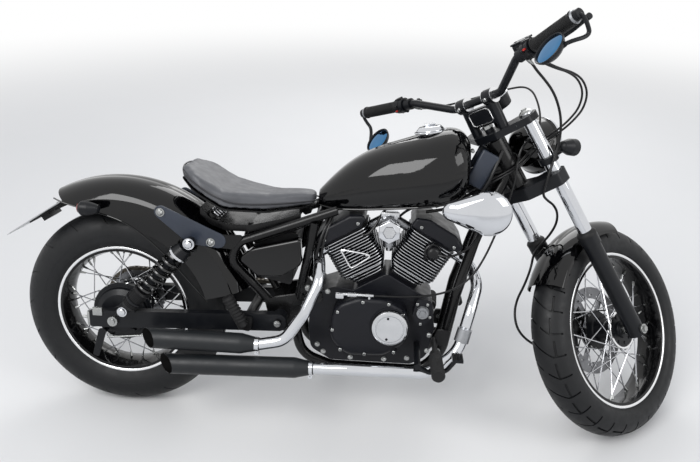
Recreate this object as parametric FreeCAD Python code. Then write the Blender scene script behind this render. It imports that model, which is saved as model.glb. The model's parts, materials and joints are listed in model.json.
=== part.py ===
import FreeCAD, Part
import math
import os
from FreeCAD import Placement, Rotation, Vector

# A single-seat V-twin cruiser with a bobbed rear fender and two mufflers, one above the other.
# Sizes are millimetres and degrees. The machine is drawn upright and steering straight ahead:
# X forward from the rear axle, Y to the rider's left, Z up from the road.
# At the end the fork is turned to its stop and the whole machine leans on its side stand.

# Stance
WHEELBASE = 1488.0
AXLE_HEIGHT = 311.0
RAKE = 31.5
FORK_OFFSET = 55.0
FORK_SPREAD = 92.0
STEER_LOCK = 46.0
LEAN = 9.0
SEAT_GAP = 0.3

# Wheels: rim radii, tyre depths above the rim, half widths
REAR_RIM_RADIUS = 205.0
REAR_TYRE_DEPTH = 106.0
REAR_TYRE_RADIUS = REAR_RIM_RADIUS + REAR_TYRE_DEPTH
REAR_TYRE_HALF = 63.0
REAR_BEAD_HALF = 47.0
FRONT_RIM_RADIUS = 231.0
FRONT_TYRE_DEPTH = 82.0
FRONT_TYRE_RADIUS = FRONT_RIM_RADIUS + FRONT_TYRE_DEPTH
FRONT_TYRE_HALF = 57.0
FRONT_BEAD_HALF = 42.0
RIM_FLANGE = 7.0
RIM_BED_DROP = 12.0
RIM_WELL_DROP = 25.0
RIM_WELL_HALF = 15.0
SPOKES_PER_SIDE = 18
SPOKE_RADIUS = 2.0
SPOKE_FACES = 6
SPOKE_SPLIT = 2.6
AXLE_RADIUS = 8.5
FRONT_DISC_RADIUS = 133.0
FRONT_DISC_SIDE = 53.0
FRONT_DISC_THICK = 5.0

# Fork and bar
STANCHION_RADIUS = 19.5
SLIDER_RADIUS = 25.0
SLIDER_TOP = 330.0
LOWER_CLAMP = (503.0, 539.0)
TOP_CLAMP = (697.0, 717.0)
BAR_RADIUS = 11.0
GRIP_RADIUS = 17.0

# Bar: distance up the steering axis, ahead of it, and to the side
BAR_CENTRE = (809.0, 9.0)
BAR_CLAMP_SIDE = 50.0
BAR_RISE_START = 88.0
BAR_BEND = (877.5, -12.4, 200.0)
GRIP_START = (886.0, -13.5, 261.0)
BAR_END = (911.0, -22.0, 395.0)
LEVER_AHEAD = (-0.35, 0.94)
HEADLAMP_CENTRE = (598.0, 145.0)

# Hose and cables
HOSE_RADIUS = 3.6
CABLE_RADIUS = 3.0
CABLE_STEP = 6.0
CABLE_RISE = 2.6

# Frame tubes
CRADLE_RADIUS = 15.0
CRADLE_SIDE = 61.0
RAIL_RADIUS = 13.0
BACKBONE_RADIUS = 20.0
HEAD_TUBE_RADIUS = 29.0
PIVOT = (489.0, 334.0)
SEAT_BRIDGE = (400.0, 577.0)
SEAT_WIRE = 3.0

# Engine
CRANK = (798.0, 370.0)
VEE_HALF_ANGLE = 30.0
DECK = 99.0
HEAD_START = 232.0
HEAD_END = 296.0
FIN_COUNT = 13
FIN_THICK = 3.2
FIN_CORNER = 26.0
FIN_HALF_SIDE = 74.0
HEAD_HALF_SIDE = 84.0
HEAD_HALF_DEEP = 56.0
HEAD_CENTRE_RISE = 1.0
CARB_WIDE = 45.4
STUB_RADIUS = 14.0
CASE_HALF = 72.0
CLUTCH_COVER_SIDE = 140.0
BATTERY_HALF = 64.0

# Exhaust
PIPE_RADIUS = 17.0
MUFFLER_RADIUS = 29.0

# Chain drive
CHAIN_SIDE = 84.0
CHAIN_WIDTH = 14.0
REAR_SPROCKET_RADIUS = 92.0
FRONT_SPROCKET_RADIUS = 33.0
FRONT_SPROCKET = (632.0, 338.0)

# Number plate
PLATE_HOLE_LINE = 44.0
PLATE_HOLE_SIDE = 35.0
PLATE_HOLE_RADIUS = 3.5

# Stand
STAND_PIVOT = (610.0, 104.0, 214.0)
STAND_FOOT = (668.0, 292.0)
STAND_SWING = 96.0

NODES = {}
STEERED = set()


# Points and directions
def vec(x, y, z):
    return Vector(x, y, z)


SIDE = vec(0, 1, 0)
UP = vec(0, 0, 1)
AHEAD = vec(1, 0, 0)
REAR_AXLE = vec(0, 0, AXLE_HEIGHT)
FRONT_AXLE = vec(WHEELBASE, 0, AXLE_HEIGHT)
RAKE_SIN = math.sin(math.radians(RAKE))
RAKE_COS = math.cos(math.radians(RAKE))
STEER_UP = vec(-RAKE_SIN, 0, RAKE_COS)
STEER_OUT = vec(RAKE_COS, 0, RAKE_SIN)
STEER_FOOT = FRONT_AXLE - STEER_OUT * FORK_OFFSET


def fork_point(up, out, side):
    """A point given along the steering axis, ahead of it and to the left."""
    return STEER_FOOT + STEER_UP * up + STEER_OUT * out + SIDE * side


def along(start, end, share):
    return start + (end - start) * share


def unit(a, b):
    return (b - a).normalize()


# Simple solids
def rod(a, b, radius):
    return Part.makeCylinder(radius, (b - a).Length, a, unit(a, b))


def cone(a, b, start_radius, end_radius):
    return Part.makeCone(start_radius, end_radius, (b - a).Length, a, unit(a, b))


def sleeve(a, b, outer, inner):
    return rod(a, b, outer).cut(rod(a, b, inner))


def joined(first, *others):
    """One solid from touching ones, its seams between flush faces healed where that stays sound."""
    fused = first.multiFuse(list(others))
    healed = fused.removeSplitter()
    return healed if healed.isValid() else fused


def mirrored(shape):
    """The same shape on the other side of the machine."""
    return shape.mirror(vec(0, 0, 0), SIDE)


def rounded_edges(points):
    """Edges of a closed outline in the XZ plane; each point is (x, z, corner radius)."""
    count = len(points)
    corners = []
    for i, (x, z, radius) in enumerate(points):
        here = vec(x, 0, z)
        before = vec(points[i - 1][0], 0, points[i - 1][1])
        after = vec(points[(i + 1) % count][0], 0, points[(i + 1) % count][1])
        if radius == 0:
            corners.append((here, here, here))
            continue
        back = unit(here, before)
        ahead = unit(here, after)
        half = back.getAngle(ahead) / 2
        reach = radius / math.tan(half)
        middle = here + (back + ahead).normalize() * (radius / math.sin(half) - radius)
        corners.append((here + back * reach, middle, here + ahead * reach))
    edges = []
    for i, (enter, middle, leave) in enumerate(corners):
        if (leave - enter).Length > 1e-6:
            edges.append(Part.Arc(enter, middle, leave).toShape())
        following = corners[(i + 1) % count][0]
        if (following - leave).Length > 1e-6:
            edges.append(Part.LineSegment(leave, following).toShape())
    return edges


def outline(points):
    return Part.Face(Part.Wire(Part.__sortEdges__(rounded_edges(points))))


def slab(points, side_a, side_b):
    """An outline in XZ, as thick as from side_a to side_b."""
    face = outline(points)
    face.translate(vec(0, side_a, 0))
    return face.extrude(vec(0, side_b - side_a, 0))


def placed(shape, origin, x_axis, z_axis):
    """Move a shape drawn about the origin so that its X and Z point along the given axes."""
    y_axis = z_axis.cross(x_axis)
    moved = shape.copy()
    moved.Placement = Placement(origin, Rotation(x_axis, y_axis, z_axis, "ZXY"))
    return moved


def turned(points, centre, axis, start=0.0, sweep=360.0):
    """A revolved outline; each point is (radius, distance along the axis, corner radius)."""
    face = outline(points)
    face.rotate(vec(0, 0, 0), UP, start)
    solid = face.revolve(vec(0, 0, 0), UP, sweep)
    if abs(axis.y) > 0.99:
        cross = AHEAD
    else:
        cross = SIDE.cross(axis).normalize()
    return placed(solid, centre, cross, axis)


def path_wire(points, radius):
    """Straight runs joined by tangent arcs of one radius, or as large as the runs allow."""
    edges = []
    last = points[0]
    for i in range(1, len(points) - 1):
        back = unit(points[i], points[i - 1])
        ahead = unit(points[i], points[i + 1])
        half = back.getAngle(ahead) / 2
        room = 0.45 * min((points[i] - points[i - 1]).Length, (points[i + 1] - points[i]).Length)
        bend = min(radius, room * math.tan(half))
        reach = bend / math.tan(half)
        enter = points[i] + back * reach
        leave = points[i] + ahead * reach
        middle = points[i] + (back + ahead).normalize() * (bend / math.sin(half) - bend)
        edges.append(Part.LineSegment(last, enter).toShape())
        edges.append(Part.Arc(enter, middle, leave).toShape())
        last = leave
    edges.append(Part.LineSegment(last, points[-1]).toShape())
    return Part.Wire(edges)


def swept(points, radius, bend):
    path = path_wire(points, bend)
    section = Part.Wire(Part.makeCircle(radius, points[0], unit(points[0], points[1])))
    return path.makePipeShell([section], True, True)


def tube(points, radius, bend):
    """A round bar or tube along (x, y, z) points."""
    return swept([vec(*point) for point in points], radius, bend)


def spring(a, b, coil_radius, wire_radius, turns):
    """A helical spring from a to b, its wire square to keep the faces few."""
    length = (b - a).Length
    helix = Part.makeHelix(length / turns, length, coil_radius)
    corners = [vec(coil_radius - wire_radius, 0, 0), vec(coil_radius, 0, -wire_radius),
               vec(coil_radius + wire_radius, 0, 0), vec(coil_radius, 0, wire_radius)]
    section = Part.makePolygon(corners + corners[:1])
    coil = Part.Wire(helix.Edges).makePipeShell([section], True, True)
    axis = unit(a, b)
    return placed(coil, a, SIDE.cross(axis).normalize(), axis)


def keep(name, *solids, steered=False):
    NODES[name] = [piece for solid in solids for piece in solid.Solids]
    if steered:
        STEERED.add(name)


# Wheels
def tyre(outer, crown, rim, bead):
    """A round-shouldered tyre that fills the rim between its flanges."""
    widest = outer - crown
    drop = widest - rim
    pull = crown - bead
    wall = (drop ** 2 + pull ** 2) / (2 * pull)
    turn = math.asin(drop / wall) / 2
    wall_mid = (widest - wall * math.sin(turn), crown - wall * (1 - math.cos(turn)))
    flange = bead - RIM_FLANGE - SEAT_GAP
    bed = rim - RIM_BED_DROP + SEAT_GAP
    lip = rim + SEAT_GAP
    left = [vec(widest, 0, crown), vec(wall_mid[0], 0, wall_mid[1]), vec(lip, 0, bead)]
    right = [vec(p.x, 0, -p.z) for p in left]
    edges = [
        Part.Arc(right[0], vec(outer, 0, 0), left[0]).toShape(),
        Part.Arc(*left).toShape(),
        Part.LineSegment(left[2], vec(lip, 0, flange)).toShape(),
        Part.LineSegment(vec(lip, 0, flange), vec(bed, 0, flange)).toShape(),
        Part.LineSegment(vec(bed, 0, flange), vec(bed, 0, -flange)).toShape(),
        Part.LineSegment(vec(bed, 0, -flange), vec(lip, 0, -flange)).toShape(),
        Part.LineSegment(vec(lip, 0, -flange), right[2]).toShape(),
        Part.Arc(right[2], right[1], right[0]).toShape(),
    ]
    return Part.Face(Part.Wire(edges)).revolve(vec(0, 0, 0), UP, 360)


def rim_ring(rim, bead, centre):
    bed = rim - RIM_BED_DROP
    well = rim - RIM_WELL_DROP
    flange = bead - RIM_FLANGE
    half = [(bed, flange, 0), (rim, flange, 0), (rim, bead, 0), (bed - 4, bead, 0), (well, RIM_WELL_HALF, 0)]
    other = [(radius, -side, corner) for radius, side, corner in reversed(half)]
    return turned(half + other, centre, SIDE)


def spoke_bar(a, b):
    """A six-sided spoke from a to b."""
    corners = []
    for i in range(SPOKE_FACES + 1):
        angle = 2 * math.pi * i / SPOKE_FACES
        corners.append(vec(SPOKE_RADIUS * math.cos(angle), SPOKE_RADIUS * math.sin(angle), 0))
    bar = Part.Face(Part.makePolygon(corners)).extrude(vec(0, 0, (b - a).Length))
    axis = unit(a, b)
    return placed(bar, a, SIDE.cross(axis).normalize(), axis)


def spokes(centre, well, lead, flanges):
    """Crossed spokes from the edges of the hub's flanges to the rim's well, leaning alternate ways."""
    bars = []
    step = 360.0 / SPOKES_PER_SIDE
    reach = well - 1.2
    for edge, middle in flanges:
        side = 1 if middle > 0 else -1
        root = edge + SPOKE_RADIUS + SEAT_GAP
        for i in range(SPOKES_PER_SIDE):
            way = 1 if i % 2 else -1
            hub_angle = math.radians(step * i + (step / 2 if side > 0 else 0))
            rim_angle = hub_angle + math.radians(lead) * way
            a = centre + vec(root * math.cos(hub_angle), middle + way * SPOKE_SPLIT, root * math.sin(hub_angle))
            b = centre + vec(reach * math.cos(rim_angle), side * 9 + way * SPOKE_SPLIT, reach * math.sin(rim_angle))
            bars.append(spoke_bar(a, b))
    return bars


def front_wheel():
    keep("front_tyre", placed(tyre(FRONT_TYRE_RADIUS, FRONT_TYRE_HALF, FRONT_RIM_RADIUS, FRONT_BEAD_HALF),
                              FRONT_AXLE, AHEAD, SIDE), steered=True)
    keep("front_rim", rim_ring(FRONT_RIM_RADIUS, FRONT_BEAD_HALF, FRONT_AXLE), steered=True)
    bore = AXLE_RADIUS + SEAT_GAP
    disc_face = FRONT_DISC_SIDE - SEAT_GAP
    hub = [(bore, -58, 0), (24, -58, 0), (24, -50, 0), (58, -50, 0), (58, -44, 0), (48, -44, 0), (34, -36, 6),
           (34, 28, 6), (48, 34, 0), (58, 34, 0), (58, 40, 0), (46, 40, 0), (42, 44, 0), (42, disc_face, 0),
           (bore, disc_face, 0)]
    keep("front_hub", turned(hub, FRONT_AXLE, SIDE), steered=True)
    # edge radius of the flange, its middle
    flanges = [(58, -47), (58, 37)]
    keep("front_spokes", *spokes(FRONT_AXLE, FRONT_RIM_RADIUS - RIM_WELL_DROP, 62, flanges), steered=True)
    keep("front_disc", front_disc(), steered=True)


def front_disc():
    """A drilled brake ring on a six-armed carrier, bolted to the hub's left flange."""
    near = FRONT_DISC_SIDE
    far = near + FRONT_DISC_THICK
    ring = turned([(98, near, 0), (FRONT_DISC_RADIUS, near, 0), (FRONT_DISC_RADIUS, far, 0), (98, far, 0)],
                  FRONT_AXLE, SIDE)
    boss = turned([(20, near, 0), (58, near, 0), (58, far, 0), (20, far, 0)], FRONT_AXLE, SIDE)
    arms = []
    for i in range(6):
        arm = Part.makeBox(50, FRONT_DISC_THICK, 22, vec(52, near, -11))
        arm.rotate(vec(0, 0, 0), SIDE, 60 * i)
        arm.translate(FRONT_AXLE)
        arms.append(arm)
    return joined(ring, boss, *arms)


def rear_wheel():
    keep("rear_tyre", placed(tyre(REAR_TYRE_RADIUS, REAR_TYRE_HALF, REAR_RIM_RADIUS, REAR_BEAD_HALF),
                             REAR_AXLE, AHEAD, SIDE))
    keep("rear_rim", rim_ring(REAR_RIM_RADIUS, REAR_BEAD_HALF, REAR_AXLE))
    bore = AXLE_RADIUS + SEAT_GAP
    sprocket_side = CHAIN_SIDE - 3.5
    hub = [(bore, -40, 0), (77, -40, 0), (77, -55, 0), (81, -55, 0), (81, -50, 0), (91, -50, 0), (91, -44, 0),
           (81, -44, 0), (44, -34, 6), (44, 32, 6), (55, 41, 0), (66, 41, 0), (66, 47, 0), (55, 47, 0),
           (46, 51, 0), (46, sprocket_side, 0), (bore, sprocket_side, 0)]
    keep("rear_hub", turned(hub, REAR_AXLE, SIDE))
    keep("rear_sprocket", toothed_ring(REAR_SPROCKET_RADIUS - 8, 60, 36, REAR_AXLE, sprocket_side + SEAT_GAP, 7))
    flanges = [(91, -47), (66, 44)]
    keep("rear_spokes", *spokes(REAR_AXLE, REAR_RIM_RADIUS - RIM_WELL_DROP, 38, flanges))


def toothed_ring(root, bore, teeth, centre, side, thick):
    """A sprocket: a ring whose teeth are triangles standing on its rim."""
    points = []
    for i in range(teeth):
        for share, radius in ((0.0, root), (0.5, root + 5)):
            angle = 2 * math.pi * (i + share) / teeth
            points.append((radius * math.cos(angle), radius * math.sin(angle), 0))
    plate = slab(points, 0, thick).cut(rod(vec(0, 0, 0), vec(0, thick, 0), bore))
    plate.translate(vec(centre.x, side, centre.z))
    return plate


# Steering group
def fork():
    tubes = []
    sliders = []
    for side in (-FORK_SPREAD, FORK_SPREAD):
        foot = fork_point(SLIDER_TOP - 40, FORK_OFFSET, side)
        top = fork_point(TOP_CLAMP[1] + 6, FORK_OFFSET, side)
        tubes.append(rod(foot, top, STANCHION_RADIUS))
        base = fork_point(-16, FORK_OFFSET, side)
        shoulder = fork_point(SLIDER_TOP - 34, FORK_OFFSET, side)
        mouth = fork_point(SLIDER_TOP, FORK_OFFSET, side)
        body = joined(rod(base, shoulder, SLIDER_RADIUS), rod(shoulder, mouth, SLIDER_RADIUS + 3))
        socket = rod(fork_point(SLIDER_TOP - 40 - SEAT_GAP, FORK_OFFSET, side), mouth, STANCHION_RADIUS + SEAT_GAP)
        axle_hole = rod(FRONT_AXLE - SIDE * 140, FRONT_AXLE + SIDE * 140, AXLE_RADIUS + SEAT_GAP)
        sliders.append(body.cut(socket).cut(axle_hole))
    keep("fork_tubes", *tubes, steered=True)
    keep("fork_sliders", *sliders, steered=True)
    axle = rod(FRONT_AXLE - SIDE * 119, FRONT_AXLE + SIDE * 122, AXLE_RADIUS)
    ends = [rod(FRONT_AXLE - SIDE * 124, FRONT_AXLE - SIDE * (92 + SLIDER_RADIUS + 0.3), 14),
            rod(FRONT_AXLE + SIDE * (92 + SLIDER_RADIUS + 0.3), FRONT_AXLE + SIDE * 127, 14)]
    spacers = [sleeve(FRONT_AXLE - SIDE * (FORK_SPREAD - SLIDER_RADIUS - 0.3), FRONT_AXLE - SIDE * 58.3, 14, 5),
               sleeve(FRONT_AXLE + SIDE * 58.3, FRONT_AXLE + SIDE * (FORK_SPREAD - SLIDER_RADIUS - 0.3), 14, 5)]
    keep("front_axle", joined(axle, *ends, *spacers), steered=True)


def fork_plate(low, high, reach, boss):
    """A triple clamp: a plate across both fork tubes and the steering stem."""
    wide = FORK_SPREAD + boss
    points = [(-30, -38, 12), (-30, 38, 12), (FORK_OFFSET - boss, wide, 20), (FORK_OFFSET + reach, wide, boss * 0.8),
              (FORK_OFFSET + reach, 64, 12), (FORK_OFFSET - 10, 40, 14), (FORK_OFFSET - 10, -40, 14),
              (FORK_OFFSET + reach, -64, 12), (FORK_OFFSET + reach, -wide, boss * 0.8),
              (FORK_OFFSET - boss, -wide, 20)]
    face = outline(points)
    plate = face.extrude(vec(0, high - low, 0))
    # The outline's X is ahead of the steering axis and its Z is to the right, so Y runs up the axis.
    plate = placed(plate, fork_point(low, 0, 0), STEER_OUT, SIDE * -1)
    for side in (-FORK_SPREAD, FORK_SPREAD):
        hole = rod(fork_point(low - 1, FORK_OFFSET, side), fork_point(high + 1, FORK_OFFSET, side),
                   STANCHION_RADIUS + 0.1)
        plate = plate.cut(hole)
    return plate


def clamps():
    """Both triple clamps on the steering stem, with the risers and the block that hold the bar."""
    lower = fork_plate(LOWER_CLAMP[0], LOWER_CLAMP[1], 26, 27)
    top = fork_plate(TOP_CLAMP[0], TOP_CLAMP[1], 26, 27)
    stem = rod(fork_point(LOWER_CLAMP[0] + 4, 0, 0), fork_point(TOP_CLAMP[1] + 12, 0, 0), 13)
    up, out = BAR_CENTRE
    posts = []
    for side in (-BAR_CLAMP_SIDE, BAR_CLAMP_SIDE):
        posts.append(rod(fork_point(TOP_CLAMP[1] - 4, 2, side), fork_point(up, out, side), 14))
        posts.append(rod(fork_point(up, out, side - 16), fork_point(up, out, side + 16), 21))
    block = Part.makeBox(22, 2 * BAR_CLAMP_SIDE, 52, vec(-11, -BAR_CLAMP_SIDE, 0))
    posts.append(placed(block, fork_point(TOP_CLAMP[1] + 22, 4, 0), STEER_OUT, STEER_UP))
    bar_hole = rod(fork_point(up, out, -90), fork_point(up, out, 90), BAR_RADIUS + 0.1)
    keep("fork_clamps", joined(lower, top, stem, *posts).cut(bar_hole), steered=True)


def bar_points():
    """The bar's bends from the right end to the left."""
    up, out = BAR_CENTRE
    turns = [BAR_END, BAR_BEND, (up, out, BAR_RISE_START)]
    right = [fork_point(u, ahead, -side) for u, ahead, side in turns]
    left = [fork_point(u, ahead, side) for u, ahead, side in reversed(turns)]
    return right + left


def handlebar():
    keep("handlebar", swept(bar_points(), BAR_RADIUS, 42), steered=True)


def bar_line(side, distance):
    """A point on the grip's centre line, its distance measured outwards from the grip's start."""
    bend = fork_point(BAR_BEND[0], BAR_BEND[1], BAR_BEND[2] * side)
    end = fork_point(BAR_END[0], BAR_END[1], BAR_END[2] * side)
    return end + unit(bend, end) * (distance - grip_length())


def grip_length():
    return (fork_point(*BAR_END) - fork_point(*GRIP_START)).Length


def grips():
    length = grip_length()
    rubber = []
    for side in (-1, 1):
        rubber.append(sleeve(bar_line(side, 4), bar_line(side, length), GRIP_RADIUS, BAR_RADIUS + SEAT_GAP))
        cap = rod(bar_line(side, length + SEAT_GAP), bar_line(side, length + 9), GRIP_RADIUS + 1)
        rubber.append(cap)
    keep("grips", *rubber, steered=True)


def bar_controls():
    """Lever perches, levers and switch boxes, the same on both sides."""
    rise, out = LEVER_AHEAD
    ahead = (STEER_UP * rise + STEER_OUT * out).normalize()
    pieces = []
    for side in (-1, 1):
        inner = bar_line(side, -28)
        outer = bar_line(side, 0)
        way = unit(inner, outer)
        box = rod(inner, outer, 22)
        perch_a = bar_line(side, -52)
        perch_b = bar_line(side, -30)
        clamp = rod(perch_a, perch_b, 17)
        perch = along(perch_a, perch_b, 0.5)
        pivot = perch + ahead * 40
        arm = rod(perch, pivot, 8)
        eye = rod(pivot - UP * 9, pivot + UP * 9, 11)
        bore = rod(bar_line(side, -80), bar_line(side, 40), BAR_RADIUS + 0.2)
        blade = swept([pivot + way * 4, pivot + way * 45 + ahead * 22, pivot + way * 120 + ahead * 26,
                       pivot + way * 178 + ahead * 14], 6, 40)
        ball = rod(pivot + way * 176 + ahead * 14.3, pivot + way * 186 + ahead * 12.3, 8)
        pieces.append(joined(box, clamp, arm, eye, blade, ball).cut(bore))
    keep("bar_controls", *pieces, steered=True)


def mirrors():
    """Round bar-end mirrors on C-shaped arms, hung under the grips."""
    pieces = []
    for side in (-1, 1):
        end = bar_line(side, grip_length() + 9 + 2 * SEAT_GAP)
        way = unit(bar_line(side, 0), end)
        collar = rod(end, end + way * 12, 14)
        centre = fork_point(829, -64, side * 344)
        rim = centre + STEER_OUT * 22 + SIDE * 22 * side
        stem = swept([end + way * 6, end + way * 16 - STEER_UP * 16, end + way * 12 - STEER_UP * 52, rim], 5, 18)
        facing = vec(-1, -0.1 * side, 0.06).normalize()
        glass = turned([(0, 0, 0), (38, 0, 0), (44, 7, 3), (30, 18, 6), (0, 20, 0)], centre, facing * -1)
        pieces.append(joined(collar, stem, glass))
    keep("mirrors", *pieces, steered=True)


def headlamp():
    """A round lamp between the fork tubes, on two lugs."""
    up, out = HEADLAMP_CENTRE
    centre = fork_point(up, out, 0)
    facing = vec(1, 0, -0.03).normalize()
    shell = [(0, -88, 0), (30, -84, 10), (66, -48, 14), (78, -6, 4), (82, 0, 0), (82, 14, 3), (74, 17, 0), (0, 24, 0)]
    lamp = turned(shell, centre, facing)
    lugs = []
    tubes = []
    for side in (-1, 1):
        lugs.append(rod(fork_point(up + 2, out - 15, side * 70), fork_point(600, FORK_OFFSET + 14, side * 84), 7))
        tubes.append(rod(fork_point(560, FORK_OFFSET, side * FORK_SPREAD),
                         fork_point(640, FORK_OFFSET, side * FORK_SPREAD), STANCHION_RADIUS + SEAT_GAP))
    keep("headlamp", joined(lamp, *lugs).cut(joined(*tubes)), steered=True)


def speedometer():
    centre = fork_point(TOP_CLAMP[1] + 62, FORK_OFFSET + 34, 0)
    facing = vec(-0.62, 0, 0.78).normalize()
    dial = turned([(0, -30, 0), (30, -28, 8), (33, 0, 0), (35, 8, 2), (0, 10, 0)], centre, facing)
    knee = fork_point(TOP_CLAMP[1] + 14, FORK_OFFSET - 14, 0)
    stalk = rod(centre - facing * 24, knee, 7)
    foot = rod(fork_point(TOP_CLAMP[1] + SEAT_GAP, FORK_OFFSET - 14, 0), knee, 9)
    keep("speedometer", joined(dial, stalk, foot), steered=True)


def front_signals():
    pieces = []
    for side in (-1, 1):
        centre = fork_point(577, FORK_OFFSET + 48, side * 138)
        pod = turned([(0, -44, 0), (14, -36, 8), (23, -8, 6), (24, 14, 0), (20, 18, 0), (0, 22, 0)], centre, AHEAD)
        root = fork_point(577, FORK_OFFSET + STANCHION_RADIUS - 2, side * (FORK_SPREAD + 5))
        stalk = rod(root, centre - AHEAD * 10, 6)
        collar = sleeve(fork_point(568, FORK_OFFSET, side * FORK_SPREAD),
                        fork_point(586, FORK_OFFSET, side * FORK_SPREAD), 27, STANCHION_RADIUS + 0.1)
        trim = rod(fork_point(540, FORK_OFFSET, side * FORK_SPREAD), fork_point(620, FORK_OFFSET, side * FORK_SPREAD),
                   STANCHION_RADIUS + 0.1)
        pieces.append(joined(pod, stalk, collar).cut(trim))
    keep("front_signals", *pieces, steered=True)


def front_fender():
    """A short guard over the back of the tyre, carried by brackets on the sliders."""
    half = FRONT_TYRE_HALF + 7
    low = FRONT_TYRE_RADIUS - 24
    top = FRONT_TYRE_RADIUS + 17
    shell = curved_channel(low, top, half, 3.0)
    guard = placed(shell_sweep(shell, 87, 66), FRONT_AXLE, AHEAD, SIDE)
    arms = []
    sliders = []
    for side in (-1, 1):
        a = fork_point(SLIDER_TOP - 30, FORK_OFFSET - SLIDER_RADIUS + 2, side * 86)
        b = FRONT_AXLE + vec(-172, side * (half - 1), 262)
        arms.append(rod(a, b, 6))
        sliders.append(rod(fork_point(0, FORK_OFFSET, side * FORK_SPREAD),
                           fork_point(SLIDER_TOP + 2, FORK_OFFSET, side * FORK_SPREAD), SLIDER_RADIUS + 3.2))
    keep("front_fender", joined(guard, *arms).cut(joined(*sliders)), steered=True)


def curved_channel(low, top, half, thick):
    """The section of a fender: radius against side, an arch with two straight skirts."""
    shoulder = top - half * 0.55
    bulge = top - half * 0.14

    def arch(inset):
        side = half - inset
        return [vec(low, 0, -side), vec(shoulder, 0, -side), vec(bulge - inset, 0, -side * 0.66),
                vec(top - inset, 0, 0), vec(bulge - inset, 0, side * 0.66), vec(shoulder, 0, side), vec(low, 0, side)]
    out = arch(0)
    inn = arch(thick)
    edges = [
        Part.LineSegment(out[0], out[1]).toShape(),
        Part.Arc(out[1], out[2], out[3]).toShape(),
        Part.Arc(out[3], out[4], out[5]).toShape(),
        Part.LineSegment(out[5], out[6]).toShape(),
        Part.LineSegment(out[6], inn[6]).toShape(),
        Part.LineSegment(inn[6], inn[5]).toShape(),
        Part.Arc(inn[5], inn[4], inn[3]).toShape(),
        Part.Arc(inn[3], inn[2], inn[1]).toShape(),
        Part.LineSegment(inn[1], inn[0]).toShape(),
        Part.LineSegment(inn[0], out[0]).toShape(),
    ]
    return Part.Face(Part.Wire(edges))


def shell_sweep(face, start, sweep):
    """Turn a fender's section about the wheel's axis; angles run from ahead, over the top."""
    section = face.copy()
    section.rotate(vec(0, 0, 0), UP, -start - sweep)
    return section.revolve(vec(0, 0, 0), UP, sweep)


def front_brake():
    """A calliper over the disc behind the left slider, and its bracket; drawn about the axle along the fork."""
    near = FRONT_DISC_SIDE
    far = near + FRONT_DISC_THICK
    block = slab([(-87, 43, 10), (-118, 1, 10), (-163, 22, 12), (-136, 73, 12)], near - 16, far + 22)
    lug = slab([(-54, 49, 6), (-87, 24, 6), (-130, 59, 6), (-44, 149, 6), (0, 176, 2), (0, 117, 2)], far + 6, far + 14)
    placed_block = placed(joined(block, lug), FRONT_AXLE, STEER_OUT, STEER_UP)
    slot = sleeve(FRONT_AXLE + SIDE * (near - 1.2), FRONT_AXLE + SIDE * (far + 1.2), FRONT_DISC_RADIUS + 3, 20)
    left_leg = rod(fork_point(-30, FORK_OFFSET, FORK_SPREAD), fork_point(SLIDER_TOP, FORK_OFFSET, FORK_SPREAD),
                   SLIDER_RADIUS + 0.1)
    keep("front_brake", placed_block.cut(slot).cut(left_leg), steered=True)


def cord(points, radius):
    """A hose or cable along (up, ahead, side) points of the fork, its bends as large as its runs allow."""
    line = [fork_point(*point) for point in points]
    radii = []
    for before, here, after in zip(line, line[1:], line[2:]):
        half = unit(here, before).getAngle(unit(here, after)) / 2
        radii.append(0.45 * min((here - before).Length, (after - here).Length) * math.tan(half))
    print("bend radii", [round(radius) for radius in radii])
    return swept(line, radius, max(radii))


def brake_hose():
    """From the right lever's perch past the lower clamp, across to the left leg and down to the calliper."""
    route = [(865, -1, -218), (848, 11, -216), (822, 24, -210), (790, 44, -204), (752, 64, -196), (712, 78, -183),
             (668, 84, -166), (626, 76, -147), (588, 50, -127), (556, 12, -112), (530, -8, -97), (506, -20, -80),
             (482, -4, -71), (450, 28, -58), (414, 48, -40), (378, 54, -12), (352, 44, 20), (336, 30, 48),
             (322, 17, 72), (304, 8, 88), (284, -5, 96), (264, -34, 102), (246, -72, 107), (236, -108, 109),
             (212, -148, 108), (172, -172, 104), (130, -168, 97), (92, -150, 88), (62, -121.5, 76),
             (48.1, -95.6, 70)]
    keep("brake_hose", cord(route, HOSE_RADIUS), steered=True)


def control_cables():
    """Two throttle cables from the right switch box and the clutch cable from the left perch to the head."""
    throttle = [(864.6, -0.9, -246), (845, 13, -243), (822, 38, -240), (796, 72, -238), (770, 112, -235),
                (735, 146, -229), (693, 160, -214), (660, 147, -190), (644, 127, -163), (633, 108, -134),
                (627, 100, -104), (620, 86, -76), (612, 60, -52), (604, 32, -42)]
    clutch = [(865, -1, 218), (850, 16, 214), (834, 48, 205), (818, 88, 190), (803, 130, 166), (790, 170, 134),
              (778, 204, 98), (768, 226, 58), (757, 236, 16), (738, 222, -16), (712, 188, -42), (684, 152, -60),
              (662, 120, -68), (648, 94, -64), (640, 70, -46), (632, 48, -32)]
    pair = []
    for way in (-1, 1):
        start = [(up, ahead, side + way * CABLE_STEP) for up, ahead, side in throttle[:1]]
        rest = [(up + way * CABLE_RISE, ahead, side + way * CABLE_STEP) for up, ahead, side in throttle[1:]]
        pair.append(cord(start + rest, CABLE_RADIUS))
    keep("control_cables", *pair, cord(clutch, CABLE_RADIUS), steered=True)


# Frame
def head_ends():
    """The steering head's lower and upper ends, a little clear of the clamps."""
    return fork_point(LOWER_CLAMP[1] + 6, 0, 0), fork_point(TOP_CLAMP[0] - 6, 0, 0)


def backbone_points():
    head_low, head_top = head_ends()
    return [along(head_low, head_top, 0.42), vec(960, 0, 752), vec(600, 0, 655)]


def head_gusset(half):
    return slab([(1128, 762, 8), (1092, 850, 8), (985, 742, 20), (1060, 690, 20)], -half, half)


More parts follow.
